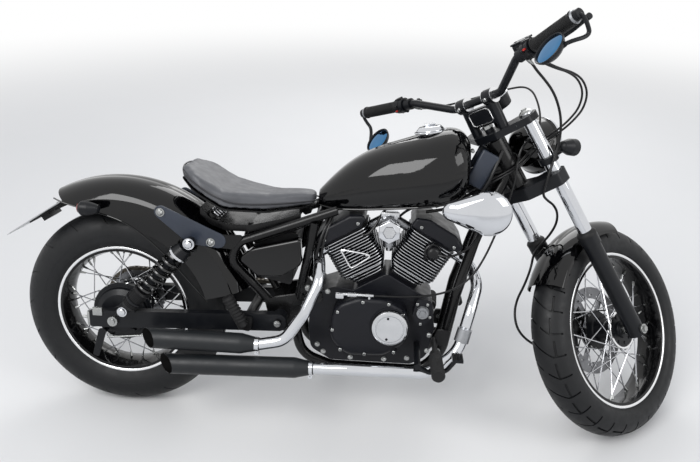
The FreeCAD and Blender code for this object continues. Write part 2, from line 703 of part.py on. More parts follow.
def frame_tubes():
    head_low, head_top = head_ends()
    head = rod(head_low, head_top, HEAD_TUBE_RADIUS)
    bore = rod(fork_point(LOWER_CLAMP[1] - 5, 0, 0), fork_point(TOP_CLAMP[0] + 5, 0, 0), 14)
    backbone = swept(backbone_points(), BACKBONE_RADIUS, 300)
    cross = rod(vec(603, -92, 649), vec(603, 92, 649), 12)
    spine = joined(head, backbone, head_gusset(8), cross)
    keep("frame_backbone", spine.cut(bore))
    downtubes = [cradle(side).cut(spine) for side in (-1, 1)]
    keep("frame_cradle", downtubes[0], joined(downtubes[1], side_stand()))
    rails = [seat_rail(side) for side in (-1, 1)]
    bridge = rod(vec(SEAT_BRIDGE[0], -102, SEAT_BRIDGE[1]), vec(SEAT_BRIDGE[0], 102, SEAT_BRIDGE[1]), 10)
    pivot = rod(vec(PIVOT[0], -131, PIVOT[1]), vec(PIVOT[0], 131, PIVOT[1]), 9)
    core = rod(vec(PIVOT[0], -65, PIVOT[1]), vec(PIVOT[0], 65, PIVOT[1]), 18)
    whole = joined(rails[0], rails[1], bridge, pivot, core)
    keep("seat_rails", whole.cut(spine).cut(Part.makeCompound(downtubes)))


def seat_rail(side):
    """One side of the rear frame: the looped rail, its post, the pivot plate, an engine lug and the strut."""
    upper = tube([(652, side * 88, 669), (508, side * 98, 616), (372, side * 102, 566), (350, side * 100, 511),
                  (410, side * 82, 436), (458, side * 57, 372)], RAIL_RADIUS, 46)
    post = tube([(590, side * 98, 634), (567, side * 92, 509), (541, side * 58, 392)], RAIL_RADIUS, 200)
    near, far = sorted((side * 60, side * 70))
    plate = slab([(440, 384, 12), (556, 408, 12), (566, 330, 12), (536, 280, 12), (462, 292, 14)], near, far)
    lug_a, lug_b = sorted((side * (CASE_HALF + SEAT_GAP), side * 80))
    lug = slab([(544, 470, 10), (566, 470, 10), (612, 414, 10), (612, 386, 10), (584, 386, 10), (540, 430, 10)],
               lug_a, lug_b)
    return joined(upper, post, plate, lug, seat_strut(side))


def cradle(side):
    points = [(1122, side * 12, 778), (1076, side * 26, 682), (1042, side * 38, 580), (1000, side * CRADLE_SIDE, 430),
              (970, side * CRADLE_SIDE, 250), (912, side * CRADLE_SIDE, 180), (640, side * CRADLE_SIDE, 180),
              (552, side * CRADLE_SIDE, 212), (532, side * CRADLE_SIDE, 300)]
    return tube(points, CRADLE_RADIUS, 90)


def seat_strut(side):
    """The flat fender strut behind the shock's upper bolt."""
    a = side * 108
    b = side * 116
    return slab([(392, 590, 6), (300, 588, 10), (155, 664, 14), (138, 640, 14), (232, 556, 10), (360, 548, 6)],
                min(a, b), max(a, b))


def swingarm():
    arms = []
    for side in (-1, 1):
        near = side * 97
        far = side * 122
        points = [(-72, 288, 4), (-72, 338, 4), (60, 343, 30), (305, 351, 60), (512, 360, 20), (512, 308, 20),
                  (184, 297, 60), (0, 288, 30)]
        arm = slab(points, min(near, far), max(near, far))
        arm = arm.cut(rod(vec(0, -200, AXLE_HEIGHT), vec(0, 200, AXLE_HEIGHT), AXLE_RADIUS + SEAT_GAP))
        arms.append(arm)
    bosses = [rod(vec(PIVOT[0], s * (70 + SEAT_GAP), PIVOT[1]), vec(PIVOT[0], s * 98, PIVOT[1]), 22) for s in (-1, 1)]
    brace = rod(vec(398, -97, 330), vec(398, 97, 330), 16)
    bore = rod(vec(PIVOT[0], -140, PIVOT[1]), vec(PIVOT[0], 140, PIVOT[1]), 9 + SEAT_GAP)
    keep("swingarm", joined(arms[0], arms[1], brace, *bosses).cut(bore))
    axle = rod(vec(0, -134, AXLE_HEIGHT), vec(0, 134, AXLE_HEIGHT), AXLE_RADIUS)
    nuts = [rod(vec(0, s * (122 + SEAT_GAP), AXLE_HEIGHT), vec(0, s * 133, AXLE_HEIGHT), 15) for s in (-1, 1)]
    spacer = sleeve(vec(0, 87.8, AXLE_HEIGHT), vec(0, 97 - SEAT_GAP, AXLE_HEIGHT), 14, 5)
    keep("rear_axle", joined(axle, spacer, *nuts))


def brake_plate():
    bore = AXLE_RADIUS + SEAT_GAP
    plate = turned([(bore, -96.7, 0), (20, -96.7, 0), (24, -76, 4), (60, -72, 6), (76.5, -62, 4), (76.5, -56, 0),
                    (bore, -56, 0)], REAR_AXLE, SIDE)
    pin = vec(-44, -80, 262)
    cam = rod(vec(pin.x, -60, pin.z), vec(pin.x, -104, pin.z), 8)
    lever = slab([(pin.x - 12, pin.z + 10, 6), (pin.x + 12, pin.z + 10, 6), (pin.x - 18, pin.z - 82, 6),
                  (pin.x - 36, pin.z - 76, 6)], -104, -98)
    stay = rod(vec(40, -60, 262), vec(40, -84, 262), 8)
    keep("rear_brake", joined(plate, cam, lever, stay))


def shocks():
    """Each rear shock stands between the arm and the strut; its body is one piece and its spring another."""
    bodies = []
    springs = []
    for side in (-1, 1):
        low = vec(42, side * 145, 355)
        top = vec(245, side * 145, 571)
        way = unit(low, top)
        length = (top - low).Length
        eyes = [rod(p - SIDE * 12, p + SIDE * 12, 14) for p in (low, top)]
        damper = rod(low + way * 10, low + way * (length - 70), 12)
        shaft = rod(low + way * (length - 72), low + way * (length - 8), 8)
        seat = rod(low + way * 46, low + way * 52, 27)
        cap = cone(low + way * (length - 50), low + way * (length - 22), 28, 20)
        inner = side * (122 + SEAT_GAP)
        lower_bolt = rod(vec(low.x, inner, low.z), vec(low.x, side * 162, low.z), 6)
        upper_bolt = rod(vec(top.x, side * (116 + SEAT_GAP), top.z), vec(top.x, side * 164, top.z), 6)
        foot = slab([(18, 335, 6), (22, 368, 10), (62, 368, 10), (70, 338, 6)], min(inner, side * 130),
                    max(inner, side * 130))
        bodies.append(joined(damper, shaft, seat, cap, lower_bolt, upper_bolt, foot, *eyes))
        springs.append(spring(low + way * 56.3, low + way * (length - 54.3), 21, 4, 9))
    keep("shock_absorbers", *bodies)
    keep("shock_springs", *springs)


def rear_fender():
    """A deep arched guard around the rear tyre, its skirts cut low at the front and short at the tail."""
    shell = curved_channel(280, 409, 95, 3.0)
    guard = placed(shell_sweep(shell, 14.5, 101.5), REAR_AXLE, AHEAD, SIDE)
    skirt = slab([(400, 330, 0), (277, 374, 0), (150, 520, 60), (27, 614, 60), (-139, 654, 20), (-190, 690, 10),
                  (-190, 100, 0), (400, 100, 0)], -120, 120)
    guard = guard.cut(skirt)
    keep("rear_fender", guard)


def plate_frame():
    """The number plate's top edge, its direction down the plate and its outward normal."""
    top = vec(-142, 0, 655)
    way = unit(top, vec(-325, 0, 538))
    return top, way, SIDE.cross(way)


def tail():
    plate_a, way, normal = plate_frame()
    holes = [rod(vec(PLATE_HOLE_LINE, y, -50), vec(PLATE_HOLE_LINE, y, 50), PLATE_HOLE_RADIUS)
             for y in (-PLATE_HOLE_SIDE, PLATE_HOLE_SIDE)]
    sheet = Part.makeBox(216, 150, 1.6, vec(0, -75, 4.3)).cut(Part.makeCompound(holes))
    board = placed(sheet, plate_a, way, normal)
    back = Part.makeBox(150, 90, 4, vec(0, -45, 0)).cut(Part.makeCompound(holes))
    back = placed(back, plate_a, way, normal)
    arm = slab([(-60, 711.5, 0), (-110, 700.8, 0), (-142, 655, 0), (-200, 617.9, 0), (-204, 608, 0), (-146, 636, 0),
                (-70, 690, 0)], -16, 16)
    lamp = placed(Part.makeBox(26, 70, 16, vec(88, -35, -16.3)), plate_a, way, normal)
    keep("plate_holder", joined(back, arm))
    keep("number_plate", board)
    pieces = [lamp]
    for side in (-1, 1):
        pod = turned([(0, -38, 0), (12, -32, 8), (20, -4, 6), (21, 16, 4), (14, 24, 6), (0, 26, 0)],
                     vec(-50, side * 130, 652), AHEAD * -1)
        stalk = rod(vec(-46, side * 122, 652), vec(-30, side * 98.5, 648), 6)
        pieces.append(joined(pod, stalk))
    keep("rear_lamps", *pieces)


def seat():
    """The solo seat: a soft cushion on a pan, which stands on a sheet through its posts and springs."""
    plan = [(202, -60, 30), (250, -116, 60), (340, -118, 60), (470, -62, 60), (582, -36, 26), (582, 36, 26),
            (470, 62, 60), (340, 118, 60), (250, 116, 60), (202, 60, 30)]
    face = outline(plan)
    block = face.extrude(vec(0, 500, 0))
    # The plan's Z is to the side, so it is laid flat with its thickness running down.
    block = placed(block, vec(0, 0, 1000), AHEAD, SIDE)
    side = slab([(196, 778, 10), (250, 752, 60), (330, 706, 90), (450, 692, 90), (592, 700, 12), (592, 672, 10),
                 (450, 656, 90), (330, 670, 90), (250, 718, 60), (196, 746, 10)], -150, 150)
    cushion = block.common(side)
    keep("seat_cushion", cushion)
    pan_side = slab([(206, 740.4, 0), (252, 713.1, 60), (331, 666.2, 90), (450, 651.2, 90), (586, 667.5, 4),
                     (586, 663.5, 0), (450, 646.5, 90), (329, 661.5, 90), (250, 709.2, 60), (206, 736.4, 0)], -150, 150)
    pan = block.common(pan_side)
    nose = slab([(520, 662, 4), (560, 664, 4), (572, 640, 6), (552, 632, 6)], -16, 16)
    legs = []
    coils = []
    for way in (-1, 1):
        foot = vec(296, way * 58, 634)
        head = vec(322, way * 58, 658)
        axis = unit(foot, head)
        legs.append(rod(foot - axis * 8, foot, 20))
        legs.append(rod(head, head + axis * 14, 17).cut(cushion.translated(UP * -SEAT_GAP)).Solids[0])
        inset = axis * (SEAT_WIRE + SEAT_GAP)
        coils.append(spring(foot + inset, head - inset, 15, SEAT_WIRE, 3.5))
    keep("seat_springs", *coils)
    x, z = SEAT_BRIDGE
    posts = [rod(vec(x, way * 60, z + 10 + SEAT_GAP), vec(x, way * 60, 615), 8) for way in (-1, 1)]
    keep("seat_pan", joined(pan, nose, under_seat_sheet(), *legs, *posts))


def under_seat_sheet():
    """The sheet under the seat: a shallow curved tray with turned-down sides."""
    top = [(258, 658), (287, 628), (332, 612), (402, 612), (482, 632), (548, 652)]
    band = slab(curved_band(top, 4), -80, 80)
    walls = [slab(curved_band(top, 20), *sorted((way * 76, way * 80))) for way in (-1, 1)]
    return joined(band, *walls)


def curved_band(top, thick):
    """An outline that follows a line of (x, z) points, as deep below it as given."""
    low = [(x, z - thick, 20) for x, z in reversed(top[1:-1])]
    ends = [(top[-1][0], top[-1][1] - thick, 0), *low, (top[0][0], top[0][1] - thick, 0)]
    return [(top[0][0], top[0][1], 0)] + [(x, z, 20) for x, z in top[1:-1]] + [(top[-1][0], top[-1][1], 0)] + ends


def tank_section(x, half, top, low, belly):
    """One upright section of the tank: flat bottom, round flanks, arched top."""
    middle = low + (top - low) * 0.42
    points = [vec(x, -belly, low), vec(x, belly, low), vec(x, half, middle), vec(x, 0, top), vec(x, -half, middle)]
    flank = (half - belly) * 0.24
    shoulder = half * 0.74
    high = middle + (top - middle) * 0.72
    edges = [
        Part.LineSegment(points[0], points[1]).toShape(),
        Part.Arc(points[1], vec(x, half - flank, low + (middle - low) * 0.42), points[2]).toShape(),
        Part.Arc(points[2], vec(x, shoulder, high), points[3]).toShape(),
        Part.Arc(points[3], vec(x, -shoulder, high), points[4]).toShape(),
        Part.Arc(points[4], vec(x, -half + flank, low + (middle - low) * 0.42), points[0]).toShape(),
    ]
    return Part.Wire(edges)


def fuel_tank():
    # x, half width, top, bottom, half width of the flat bottom
    table = [
        (592, 26, 708, 666, 20),
        (660, 66, 778, 666, 54),
        (780, 106, 846, 680, 84),
        (900, 122, 886, 694, 96),
        (972, 112, 898, 708, 86),
        (1012, 82, 862, 740, 60),
    ]
    body = Part.makeLoft([tank_section(*row) for row in table], True, False)
    tunnel = swept(backbone_points(), BACKBONE_RADIUS + 4, 300)
    body = body.cut(tunnel).cut(head_gusset(12))
    keep("fuel_tank", body)
    centre = vec(902, 0, 884)
    normal = vec(-0.16, 0, 1).normalize()
    cap = turned([(0, 0, 0), (38, 0, 0), (40, 10, 3), (30, 20, 6), (0, 24, 0)], centre, normal)
    keep("fuel_cap", cap.cut(body))


def crankcase():
    x, z = CRANK
    origin, axis, across = vee_frame(1)
    inner = origin + axis * DECK - across * 48
    outer = origin + axis * DECK + across * 54
    points = [(572, 300, 40), (580, 410, 40), (650, 436, 20), (2 * x - outer.x, outer.z, 0),
              (2 * x - inner.x, inner.z, 0), (inner.x, inner.z, 0), (outer.x, outer.z, 0), (932, 405, 30),
              (944, 320, 40), (925, 230, 40), (880, 202, 30), (640, 202, 30), (580, 238, 30)]
    block = slab(points, -CASE_HALF, CASE_HALF)
    keep("crankcase", block)
    cover_points = [(641, 300, 60), (648, 400, 60), (720, 430, 60), (800, 428, 60), (862, 392, 50), (864, 300, 50),
                    (800, 254, 60), (690, 250, 60)]
    right = slab(cover_points, -CLUTCH_COVER_SIDE, -CASE_HALF - SEAT_GAP)
    face_edges = [edge for edge in right.Edges if abs(edge.CenterOfMass.y + CLUTCH_COVER_SIDE) < 0.01]
    right = rounded_where_sound(right, face_edges, 14)
    disc_back = -CLUTCH_COVER_SIDE
    disc = turned([(0, 0, 0), (51, 0, 0), (51, 14, 3), (0, 18, 0)], vec(814, disc_back, 350), SIDE * -1)
    pump = slab([(876, 372, 12), (888, 428, 14), (930, 424, 16), (936, 372, 14), (900, 340, 10)], -112,
                -CASE_HALF - SEAT_GAP)
    left = slab([(720, 290, 50), (720, 440, 50), (880, 440, 60), (890, 290, 60)], CASE_HALF + SEAT_GAP, 136)
    sprocket_cover = slab([(590, 290, 40), (590, 392, 40), (700, 400, 30), (700, 282, 30)], 98, 128)
    posts = [rod(vec(px, CASE_HALF + SEAT_GAP, pz), vec(px, 99, pz), 8) for px, pz in ((690, 300), (690, 385))]
    keep("engine_covers", joined(right, disc), pump, left, joined(sprocket_cover, *posts))
    shaft = rod(vec(FRONT_SPROCKET[0], CASE_HALF + SEAT_GAP, FRONT_SPROCKET[1]),
                vec(FRONT_SPROCKET[0], 97, FRONT_SPROCKET[1]), 11)
    plate = toothed_ring(FRONT_SPROCKET_RADIUS - 8, 10, 15, vec(FRONT_SPROCKET[0], 0, FRONT_SPROCKET[1]),
                         CHAIN_SIDE - 3.5, 7)
    return joined(shaft, plate)


def vee_frame(way):
    """The crank's place, the cylinder's direction and the direction across it."""
    angle = math.radians(VEE_HALF_ANGLE * way)
    axis = vec(math.sin(angle), 0, math.cos(angle))
    across = vec(math.cos(angle), 0, -math.sin(angle))
    return vec(CRANK[0], 0, CRANK[1]), axis, across


def cylinder(way):
    origin, axis, across = vee_frame(way)
    pitch = (HEAD_START - DECK - 22) / FIN_COUNT
    core = Part.makeBox(84, 84, HEAD_START + 20 - DECK, vec(-42, -42, DECK + SEAT_GAP))
    fins = []
    for i in range(FIN_COUNT):
        level = DECK + 12 + pitch * i
        reach = min(52 + 5.0 * i, 72)
        fins.append(fin_plate(reach, FIN_HALF_SIDE if i > 2 else 56, level))
    head = Part.makeBox(2 * HEAD_HALF_DEEP, 136, 30, vec(-HEAD_HALF_DEEP, -68, HEAD_START - 6))
    solid = joined(core, head, *fins)
    return placed(solid, origin, across, axis)


def fin_plate(reach, half, level):
    corner = FIN_CORNER
    points = [(-reach, -half, corner), (reach, -half, corner), (reach, half, corner), (-reach, half, corner)]
    face = outline(points)
    plate = face.extrude(vec(0, FIN_THICK, 0))
    return placed(plate, vec(0, 0, level + FIN_THICK), AHEAD, SIDE)


def rocker_cover(way):
    """A rocker box with rounded ends."""
    origin, axis, across = vee_frame(way)
    low = HEAD_START + 24 + SEAT_GAP
    top = HEAD_END
    points = [(-78, low, 4), (-78, top - 10, 10), (-40, top + 6, 20), (44, top + 6, 20), (80, top - 12, 10),
              (80, low + 14, 4), (58, low, 4)]
    cover = slab(points, -HEAD_HALF_SIDE, HEAD_HALF_SIDE)
    ends = [edge for edge in cover.Edges
            if abs(abs(edge.CenterOfMass.y) - HEAD_HALF_SIDE) < 0.01 and edge.CenterOfMass.z > low + 8]
    return placed(rounded_where_sound(cover, ends, 9), origin, across, axis)


def rounded_where_sound(solid, edges, radius):
    """The solid with the edges rounded, or as it was if the rounding does not come out sound."""
    rounded = solid.makeFillet(radius, edges)
    return rounded if rounded.isValid() else solid


def engine_top():
    keep("cylinders", cylinder(1), cylinder(-1))
    keep("rocker_covers", rocker_cover(1), rocker_cover(-1))
    body = Part.makeBox(CARB_WIDE, 90, 62, vec(CRANK[0] - CARB_WIDE / 2, -45, 580))
    bowl = rod(vec(800, -20, 552), vec(800, -20, 582), 20)
    cap = hexagon(vec(800, -76, 616), 34, 26)
    neck = rod(vec(800, -76, 616), vec(800, -44, 616), 22)
    keep("carburettor", joined(body, bowl, neck, intake_stub(1), intake_stub(-1)))
    keep("chrome_covers", cap, teardrop_cover())


def intake_stub(way):
    """The short pipe between the carburettor and a head's inner face."""
    origin, axis, across = vee_frame(way)
    face = origin + axis * (HEAD_START + HEAD_CENTRE_RISE) - across * way * (HEAD_HALF_DEEP + SEAT_GAP)
    return rod(face, face - across * way * 62, STUB_RADIUS)


def hexagon(centre, radius, thick):
    points = [(radius * math.cos(math.pi * i / 3), radius * math.sin(math.pi * i / 3), 3) for i in range(6)]
    plate = slab(points, -thick, 0)
    plate.translate(centre - SIDE * SEAT_GAP)
    return plate


def teardrop_cover():
    """The polished egg-shaped cover ahead of the front cylinder, on the right, and its stem to the frame."""
    small = vec(966, 0, 694)
    large = vec(1066, 0, 692)
    small_radius = 26
    large_radius = 62
    way = unit(small, large)
    cross = vec(-way.z, 0, way.x)
    lean = math.asin((large_radius - small_radius) / (large - small).Length)
    up = cross * math.cos(lean) - way * math.sin(lean)
    down = cross * -math.cos(lean) - way * math.sin(lean)
    edges = [
        Part.LineSegment(small + up * small_radius, large + up * large_radius).toShape(),
        Part.Arc(large + up * large_radius, large + way * large_radius, large + down * large_radius).toShape(),
        Part.LineSegment(large + down * large_radius, small + down * small_radius).toShape(),
        Part.Arc(small + down * small_radius, small - way * small_radius, small + up * small_radius).toShape(),
    ]
    face = Part.Face(Part.Wire(edges))
    face.translate(SIDE * -162)
    shell = face.extrude(SIDE * 30)
    shell = rounded_where_sound(shell, [edge for edge in shell.Edges if abs(edge.CenterOfMass.y + 162) < 0.01], 20)
    stem = rod(vec(1050, -133, 714), vec(1050, -8 - SEAT_GAP, 714), 8)
    return joined(shell, stem)


def side_covers():
    """Pointed covers below the seat rails, and the box of battery and fuse between them."""
    pieces = []
    for side in (-1, 1):
        points = [(374, 521, 14), (414, 554, 50), (552.9, 590, 8), (556.9, 512, 24), (500, 475, 36), (430, 471, 36)]
        near, far = sorted((side * 92, side * 122))
        shell = slab(points, near, far)
        rim = [edge for edge in shell.Edges if abs(abs(edge.CenterOfMass.y) - 122) < 0.01]
        pieces.append(rounded_where_sound(shell, rim, 8))
    keep("side_covers", *pieces)
    keep("battery_box", slab([(410.3, 455, 10), (410.3, 590, 4), (540, 590, 10), (520, 430, 10)],
                             -BATTERY_HALF, BATTERY_HALF))


def exhausts():
    origin, axis, across = vee_frame(1)
    port = origin + axis * (HEAD_START + 6) + across * (HEAD_HALF_DEEP + SEAT_GAP)
    bend = port + across * 82
    front = tube([tuple(port), tuple(bend), (1060, -58, 462), (1040, -112, 404), (1010, -150, 290),
                  (928, -193, 238), (700, -200, 238), (605, -200, 236)], PIPE_RADIUS, 90)
    origin, axis, across = vee_frame(-1)
    port = origin + axis * (HEAD_START + 6) - across * (HEAD_HALF_DEEP + SEAT_GAP) - SIDE * 34
    bend = port - across * 40
    rear = tube([tuple(port), tuple(bend), (606, -100, 515), (612, -150, 481), (574, -182, 392), (520, -192, 312),
                 (450, -192, 296)], PIPE_RADIUS, 60)
    cans = [muffler(vec(604.7, -200, 235.9), vec(150, -200, 222)), muffler(vec(449.7, -192, 295.8), vec(98, -192, 296))]
    keep("mufflers", *cans)
    keep("exhaust_pipes", front.cut(cans[0]), rear.cut(cans[1]))


def muffler(front, back):
    """A plain can with a cone at the front and an open, slash-cut tail."""
    way = unit(front, back)
    length = (back - front).Length
    cone_end = front + way * 52
    nose = cone(front, cone_end, PIPE_RADIUS + 1, MUFFLER_RADIUS)
    can = rod(cone_end, back, MUFFLER_RADIUS)
    bore = rod(front + way * (length - 90), back + way, MUFFLER_RADIUS - 3)
    body = joined(nose, can).cut(bore)
    cutter = Part.makeBox(120, 120, 120, vec(-60, -60, 0))
    slant = (way * 1.0 + UP * -0.55).normalize()
    cutter = placed(cutter, back - way * 14, SIDE, slant)
    return body.cut(cutter)


def foot_controls():
    pegs = []
    for side in (-1, 1):
        near = CRADLE_SIDE + CRADLE_RADIUS + SEAT_GAP
        bracket = slab([(952, 322, 8), (990, 322, 8), (984, 272, 8), (936, 276, 8)], near, near + 8)
        if side < 0:
            bracket = mirrored(bracket)
        stub = rod(vec(944, side * 82, 292), vec(944, side * 178, 291), 8)
        peg = rod(vec(944, side * 178, 291), vec(949, side * 300, 284), 16)
        pegs.append(joined(bracket, stub, peg))
    pedal = tube([(895, -212, 269), (928, -212, 250), (975, -208, 256), (1004, -204, 294)], 6.5, 20)
    pivot = rod(vec(895, -CASE_HALF - SEAT_GAP, 269), vec(895, -221, 269), 9)
    pad = Part.makeBox(30, 42, 9, vec(989, -226, 291))
    shift = tube([(880, 150, 258), (925, 168, 246), (996, 178, 258), (1034, 184, 308)], 6, 20)
    boss = rod(vec(880, CASE_HALF + SEAT_GAP, 258), vec(880, 162, 258), 11)
    rubber = rod(vec(1034, 176, 308), vec(1034, 222, 308), 10)
    keep("foot_levers", joined(pedal, pivot, pad), joined(shift, boss, rubber))
    for side in (-1, 1):
        hinge = slab([(372, 312, 8), (384, 352, 10), (418, 348, 8), (410, 306, 8)], min(side * 123, side * 134),
                     max(side * 123, side * 134))
        hinge_pin = rod(vec(394, side * 123, 334), vec(394, side * 152, 334), 8)
        folded = rod(vec(394, side * 153, 332), vec(350, side * 157, 420), 15)
        pegs.append(joined(hinge, hinge_pin, folded))
    keep("foot_pegs", *pegs)


def chain(front_sprocket):
    """A closed loop round both sprockets, as two tangent runs and two arcs."""
    big = vec(0, 0, AXLE_HEIGHT)
    small = vec(FRONT_SPROCKET[0], 0, FRONT_SPROCKET[1])

    def loop(extra):
        r_big = REAR_SPROCKET_RADIUS + extra
        r_small = FRONT_SPROCKET_RADIUS + extra
        way = unit(big, small)
        cross = vec(-way.z, 0, way.x)
        lean = math.asin((r_big - r_small) / (small - big).Length)
        up = cross * math.cos(lean) + way * math.sin(lean)
        down = cross * -math.cos(lean) + way * math.sin(lean)
        edges = [
            Part.LineSegment(big + up * r_big, small + up * r_small).toShape(),
            Part.Arc(small + up * r_small, small + way * r_small, small + down * r_small).toShape(),
            Part.LineSegment(small + down * r_small, big + down * r_big).toShape(),
            Part.Arc(big + down * r_big, big - way * r_big, big + up * r_big).toShape(),
        ]
        face = Part.Face(Part.Wire(edges))
        face.translate(vec(0, CHAIN_SIDE - CHAIN_WIDTH / 2, 0))
        return face.extrude(vec(0, CHAIN_WIDTH, 0))
    keep("drive_chain", loop(6).cut(loop(-2)), front_sprocket)


# Resting on the stand
def lean_turn(pitch):
    return Rotation(SIDE, pitch).multiply(Rotation(AHEAD, -LEAN))


def tyre_height(turn, centre, axle_way, outer, crown):
    """How high a round tyre's lowest point lies, with the rear axle at height zero."""
    mid = turn.multVec(centre - REAR_AXLE).z
    tip = turn.multVec(axle_way).z
    return mid - ((outer - crown) * math.sqrt(1 - tip * tip) + crown)


def steer_placement():
    turn = Rotation(STEER_UP, STEER_LOCK)
    return Placement(vec(0, 0, 0), turn, STEER_FOOT)


def stance():
    """The pitch at which both tyres touch the road, and the rear axle's height there."""
    steering = steer_placement()
    front_centre = steering.multVec(FRONT_AXLE)
    front_way = steering.Rotation.multVec(SIDE)
    low, high = -5.0, 5.0
    for _ in range(60):
        pitch = (low + high) / 2
        turn = lean_turn(pitch)
        rear = tyre_height(turn, REAR_AXLE, SIDE, REAR_TYRE_RADIUS, REAR_TYRE_HALF)
        front = tyre_height(turn, front_centre, front_way, FRONT_TYRE_RADIUS, FRONT_TYRE_HALF)
        if front > rear:
            low = pitch
        else:
            high = pitch
    turn = lean_turn(pitch)
    return turn, -rear


def rest_placement():
    turn, height = stance()
    base = Placement(vec(0, 0, height), turn)
    return base.multiply(Placement(REAR_AXLE * -1, Rotation()))


def side_stand():
    """A splayed leg with a flat foot on the road, and its lug on the left cradle tube."""
    rest = rest_placement()
    ground = rest.inverse()
    level = ground.Rotation.multVec(UP)
    x, y = STAND_FOOT
    base = ground.multVec(vec(0, 0, 0))
    z = base.z - (level.x * (x - base.x) + level.y * (y - base.y)) / level.z
    foot = vec(x, y, z)
    pivot = vec(*STAND_PIVOT)
    shoe = rod(foot, foot + level * 8, 26)
    ankle = foot + level * 11
    leg = swept([pivot + vec(0, 8, -2), along(pivot, ankle, 0.55) + vec(8, 4, -6), ankle], 10, 200)
    hub_way = stand_axis()
    eye = rod(pivot - hub_way * 6, pivot + hub_way * 10, 17)
    bore = rod(pivot - hub_way * 20, pivot + hub_way * 20, 6 + SEAT_GAP)
    keep("side_stand", joined(shoe, leg, eye).cut(bore))
    lug = rod(pivot - hub_way * 16, pivot - hub_way * 6.3, 17)
    reach = rod(vec(612, 64, 184), pivot - hub_way * 12, 11)
    return joined(lug, reach, rod(pivot - hub_way * 10, pivot + hub_way * 13, 6))


def stand_axis():
    tilt = math.radians(32)
    return vec(0, math.cos(tilt), math.sin(tilt))


def all_parts():
    front_wheel()
    rear_wheel()
    fork()
    clamps()
    handlebar()
    grips()
    bar_controls()
    mirrors()
    headlamp()
    speedometer()
    front_signals()
    front_fender()
    front_brake()
    brake_hose()
    control_cables()
    frame_tubes()
    swingarm()
    brake_plate()
    shocks()
    rear_fender()
    tail()
    seat()
    fuel_tank()
    front_sprocket = crankcase()
    engine_top()
    side_covers()
    exhausts()
    foot_controls()
    chain(front_sprocket)


def final_shapes():
    """Every node turned to its place on the leaning machine, centred over the origin."""
    rest = rest_placement()
    steer = rest.multiply(steer_placement())
    shapes = {}
    box = FreeCAD.BoundBox()
    for name, solids in NODES.items():
        place = steer if name in STEERED else rest
        moved = []
        for solid in solids:
            copy = solid.copy()
            copy.Placement = place.multiply(copy.Placement)
            moved.append(copy)
            box.add(copy.optimalBoundingBox(False, False))
        shapes[name] = Part.makeCompound(moved)
    shift = vec(-box.Center.x, -box.Center.y, 0)
    for shape in shapes.values():
        shape.translate(shift)
    return shapes, shift, box


if __name__ == "__main__":
    os.makedirs("parts", exist_ok=True)
    all_parts()
    shapes, shift, box = final_shapes()
    for name, shape in shapes.items():
        shape.exportStep("parts/" + name + ".step")
    print(len(shapes), "nodes; size", round(box.XLength), round(box.YLength), round(box.ZLength))
    print("lowest point", round(box.ZMin, 3), "shift", round(shift.x, 3), round(shift.y, 3))
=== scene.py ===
# %% [markdown]
# This lesson dresses the solids of a V-twin cruiser, leaning on its side stand, for a studio picture.
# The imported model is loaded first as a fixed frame: every new piece is drawn on it and rides on one of
# its bodies.

# %% Load the frame
import json
import math

import bmesh
import bpy
from mathutils import Matrix, Vector


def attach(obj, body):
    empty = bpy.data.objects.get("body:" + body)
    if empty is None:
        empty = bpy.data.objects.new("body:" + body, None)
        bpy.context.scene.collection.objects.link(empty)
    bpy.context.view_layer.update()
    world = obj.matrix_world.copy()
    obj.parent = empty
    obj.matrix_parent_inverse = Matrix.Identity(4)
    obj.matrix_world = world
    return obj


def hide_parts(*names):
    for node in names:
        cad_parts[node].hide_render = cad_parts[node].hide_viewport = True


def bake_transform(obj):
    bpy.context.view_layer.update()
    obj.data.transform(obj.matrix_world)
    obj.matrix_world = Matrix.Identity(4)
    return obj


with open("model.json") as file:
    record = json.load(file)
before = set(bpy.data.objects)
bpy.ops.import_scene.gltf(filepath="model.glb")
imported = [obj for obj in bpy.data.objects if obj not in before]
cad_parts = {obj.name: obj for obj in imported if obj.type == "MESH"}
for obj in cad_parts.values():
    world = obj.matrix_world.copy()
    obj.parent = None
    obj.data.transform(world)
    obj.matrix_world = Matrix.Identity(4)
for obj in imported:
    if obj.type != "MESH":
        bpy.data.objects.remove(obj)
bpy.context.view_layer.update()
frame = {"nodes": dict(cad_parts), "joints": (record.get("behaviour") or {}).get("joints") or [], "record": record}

scene = bpy.context.scene
scene.view_settings.view_transform = "Standard"

# %% [markdown]
# The machine's own drawing stands upright and steers straight ahead. Its X runs ahead from the rear
# axle, Y to the rider's left and Z up. The rear axle's direction is the drawing's Y, and the steering
# axis leans back by the rake, which is enough to find the other two axes in the leaning machine. Pieces
# that steer are turned once more, about the steering axis, to the left stop.

# %% From the drawing to the leaning machine
RAKE = math.radians(31.5)
STEER_LOCK = math.radians(46)
AXLE_HEIGHT = 311
WHEELBASE = 1488
FORK_OFFSET = 55
FORK_SPREAD = 92

joints = {joint["name"]: joint for joint in frame["joints"]}
axle_left = Vector(joints["rear_wheel_spin"]["axis"])
steer_up = Vector(joints["steering_turn"]["axis"])
rear_axle = Vector(joints["rear_wheel_spin"]["pos_m"])
steer_foot = Vector(joints["steering_turn"]["pos_m"])
steer_out = axle_left.cross(steer_up)
ahead = steer_out * math.cos(RAKE) - steer_up * math.sin(RAKE)
upward = steer_out * math.sin(RAKE) + steer_up * math.cos(RAKE)
turn = Matrix((ahead, axle_left, upward)).transposed().to_4x4()
MM = Matrix.Scale(0.001, 4)
REST = Matrix.Translation(rear_axle) @ turn @ Matrix.Translation((0, 0, -0.001 * AXLE_HEIGHT)) @ MM
STEER = (Matrix.Translation(steer_foot) @ Matrix.Rotation(STEER_LOCK, 4, steer_up)
         @ Matrix.Translation(-steer_foot) @ REST)
REAR_WHEEL = Vector((0, 0, AXLE_HEIGHT))
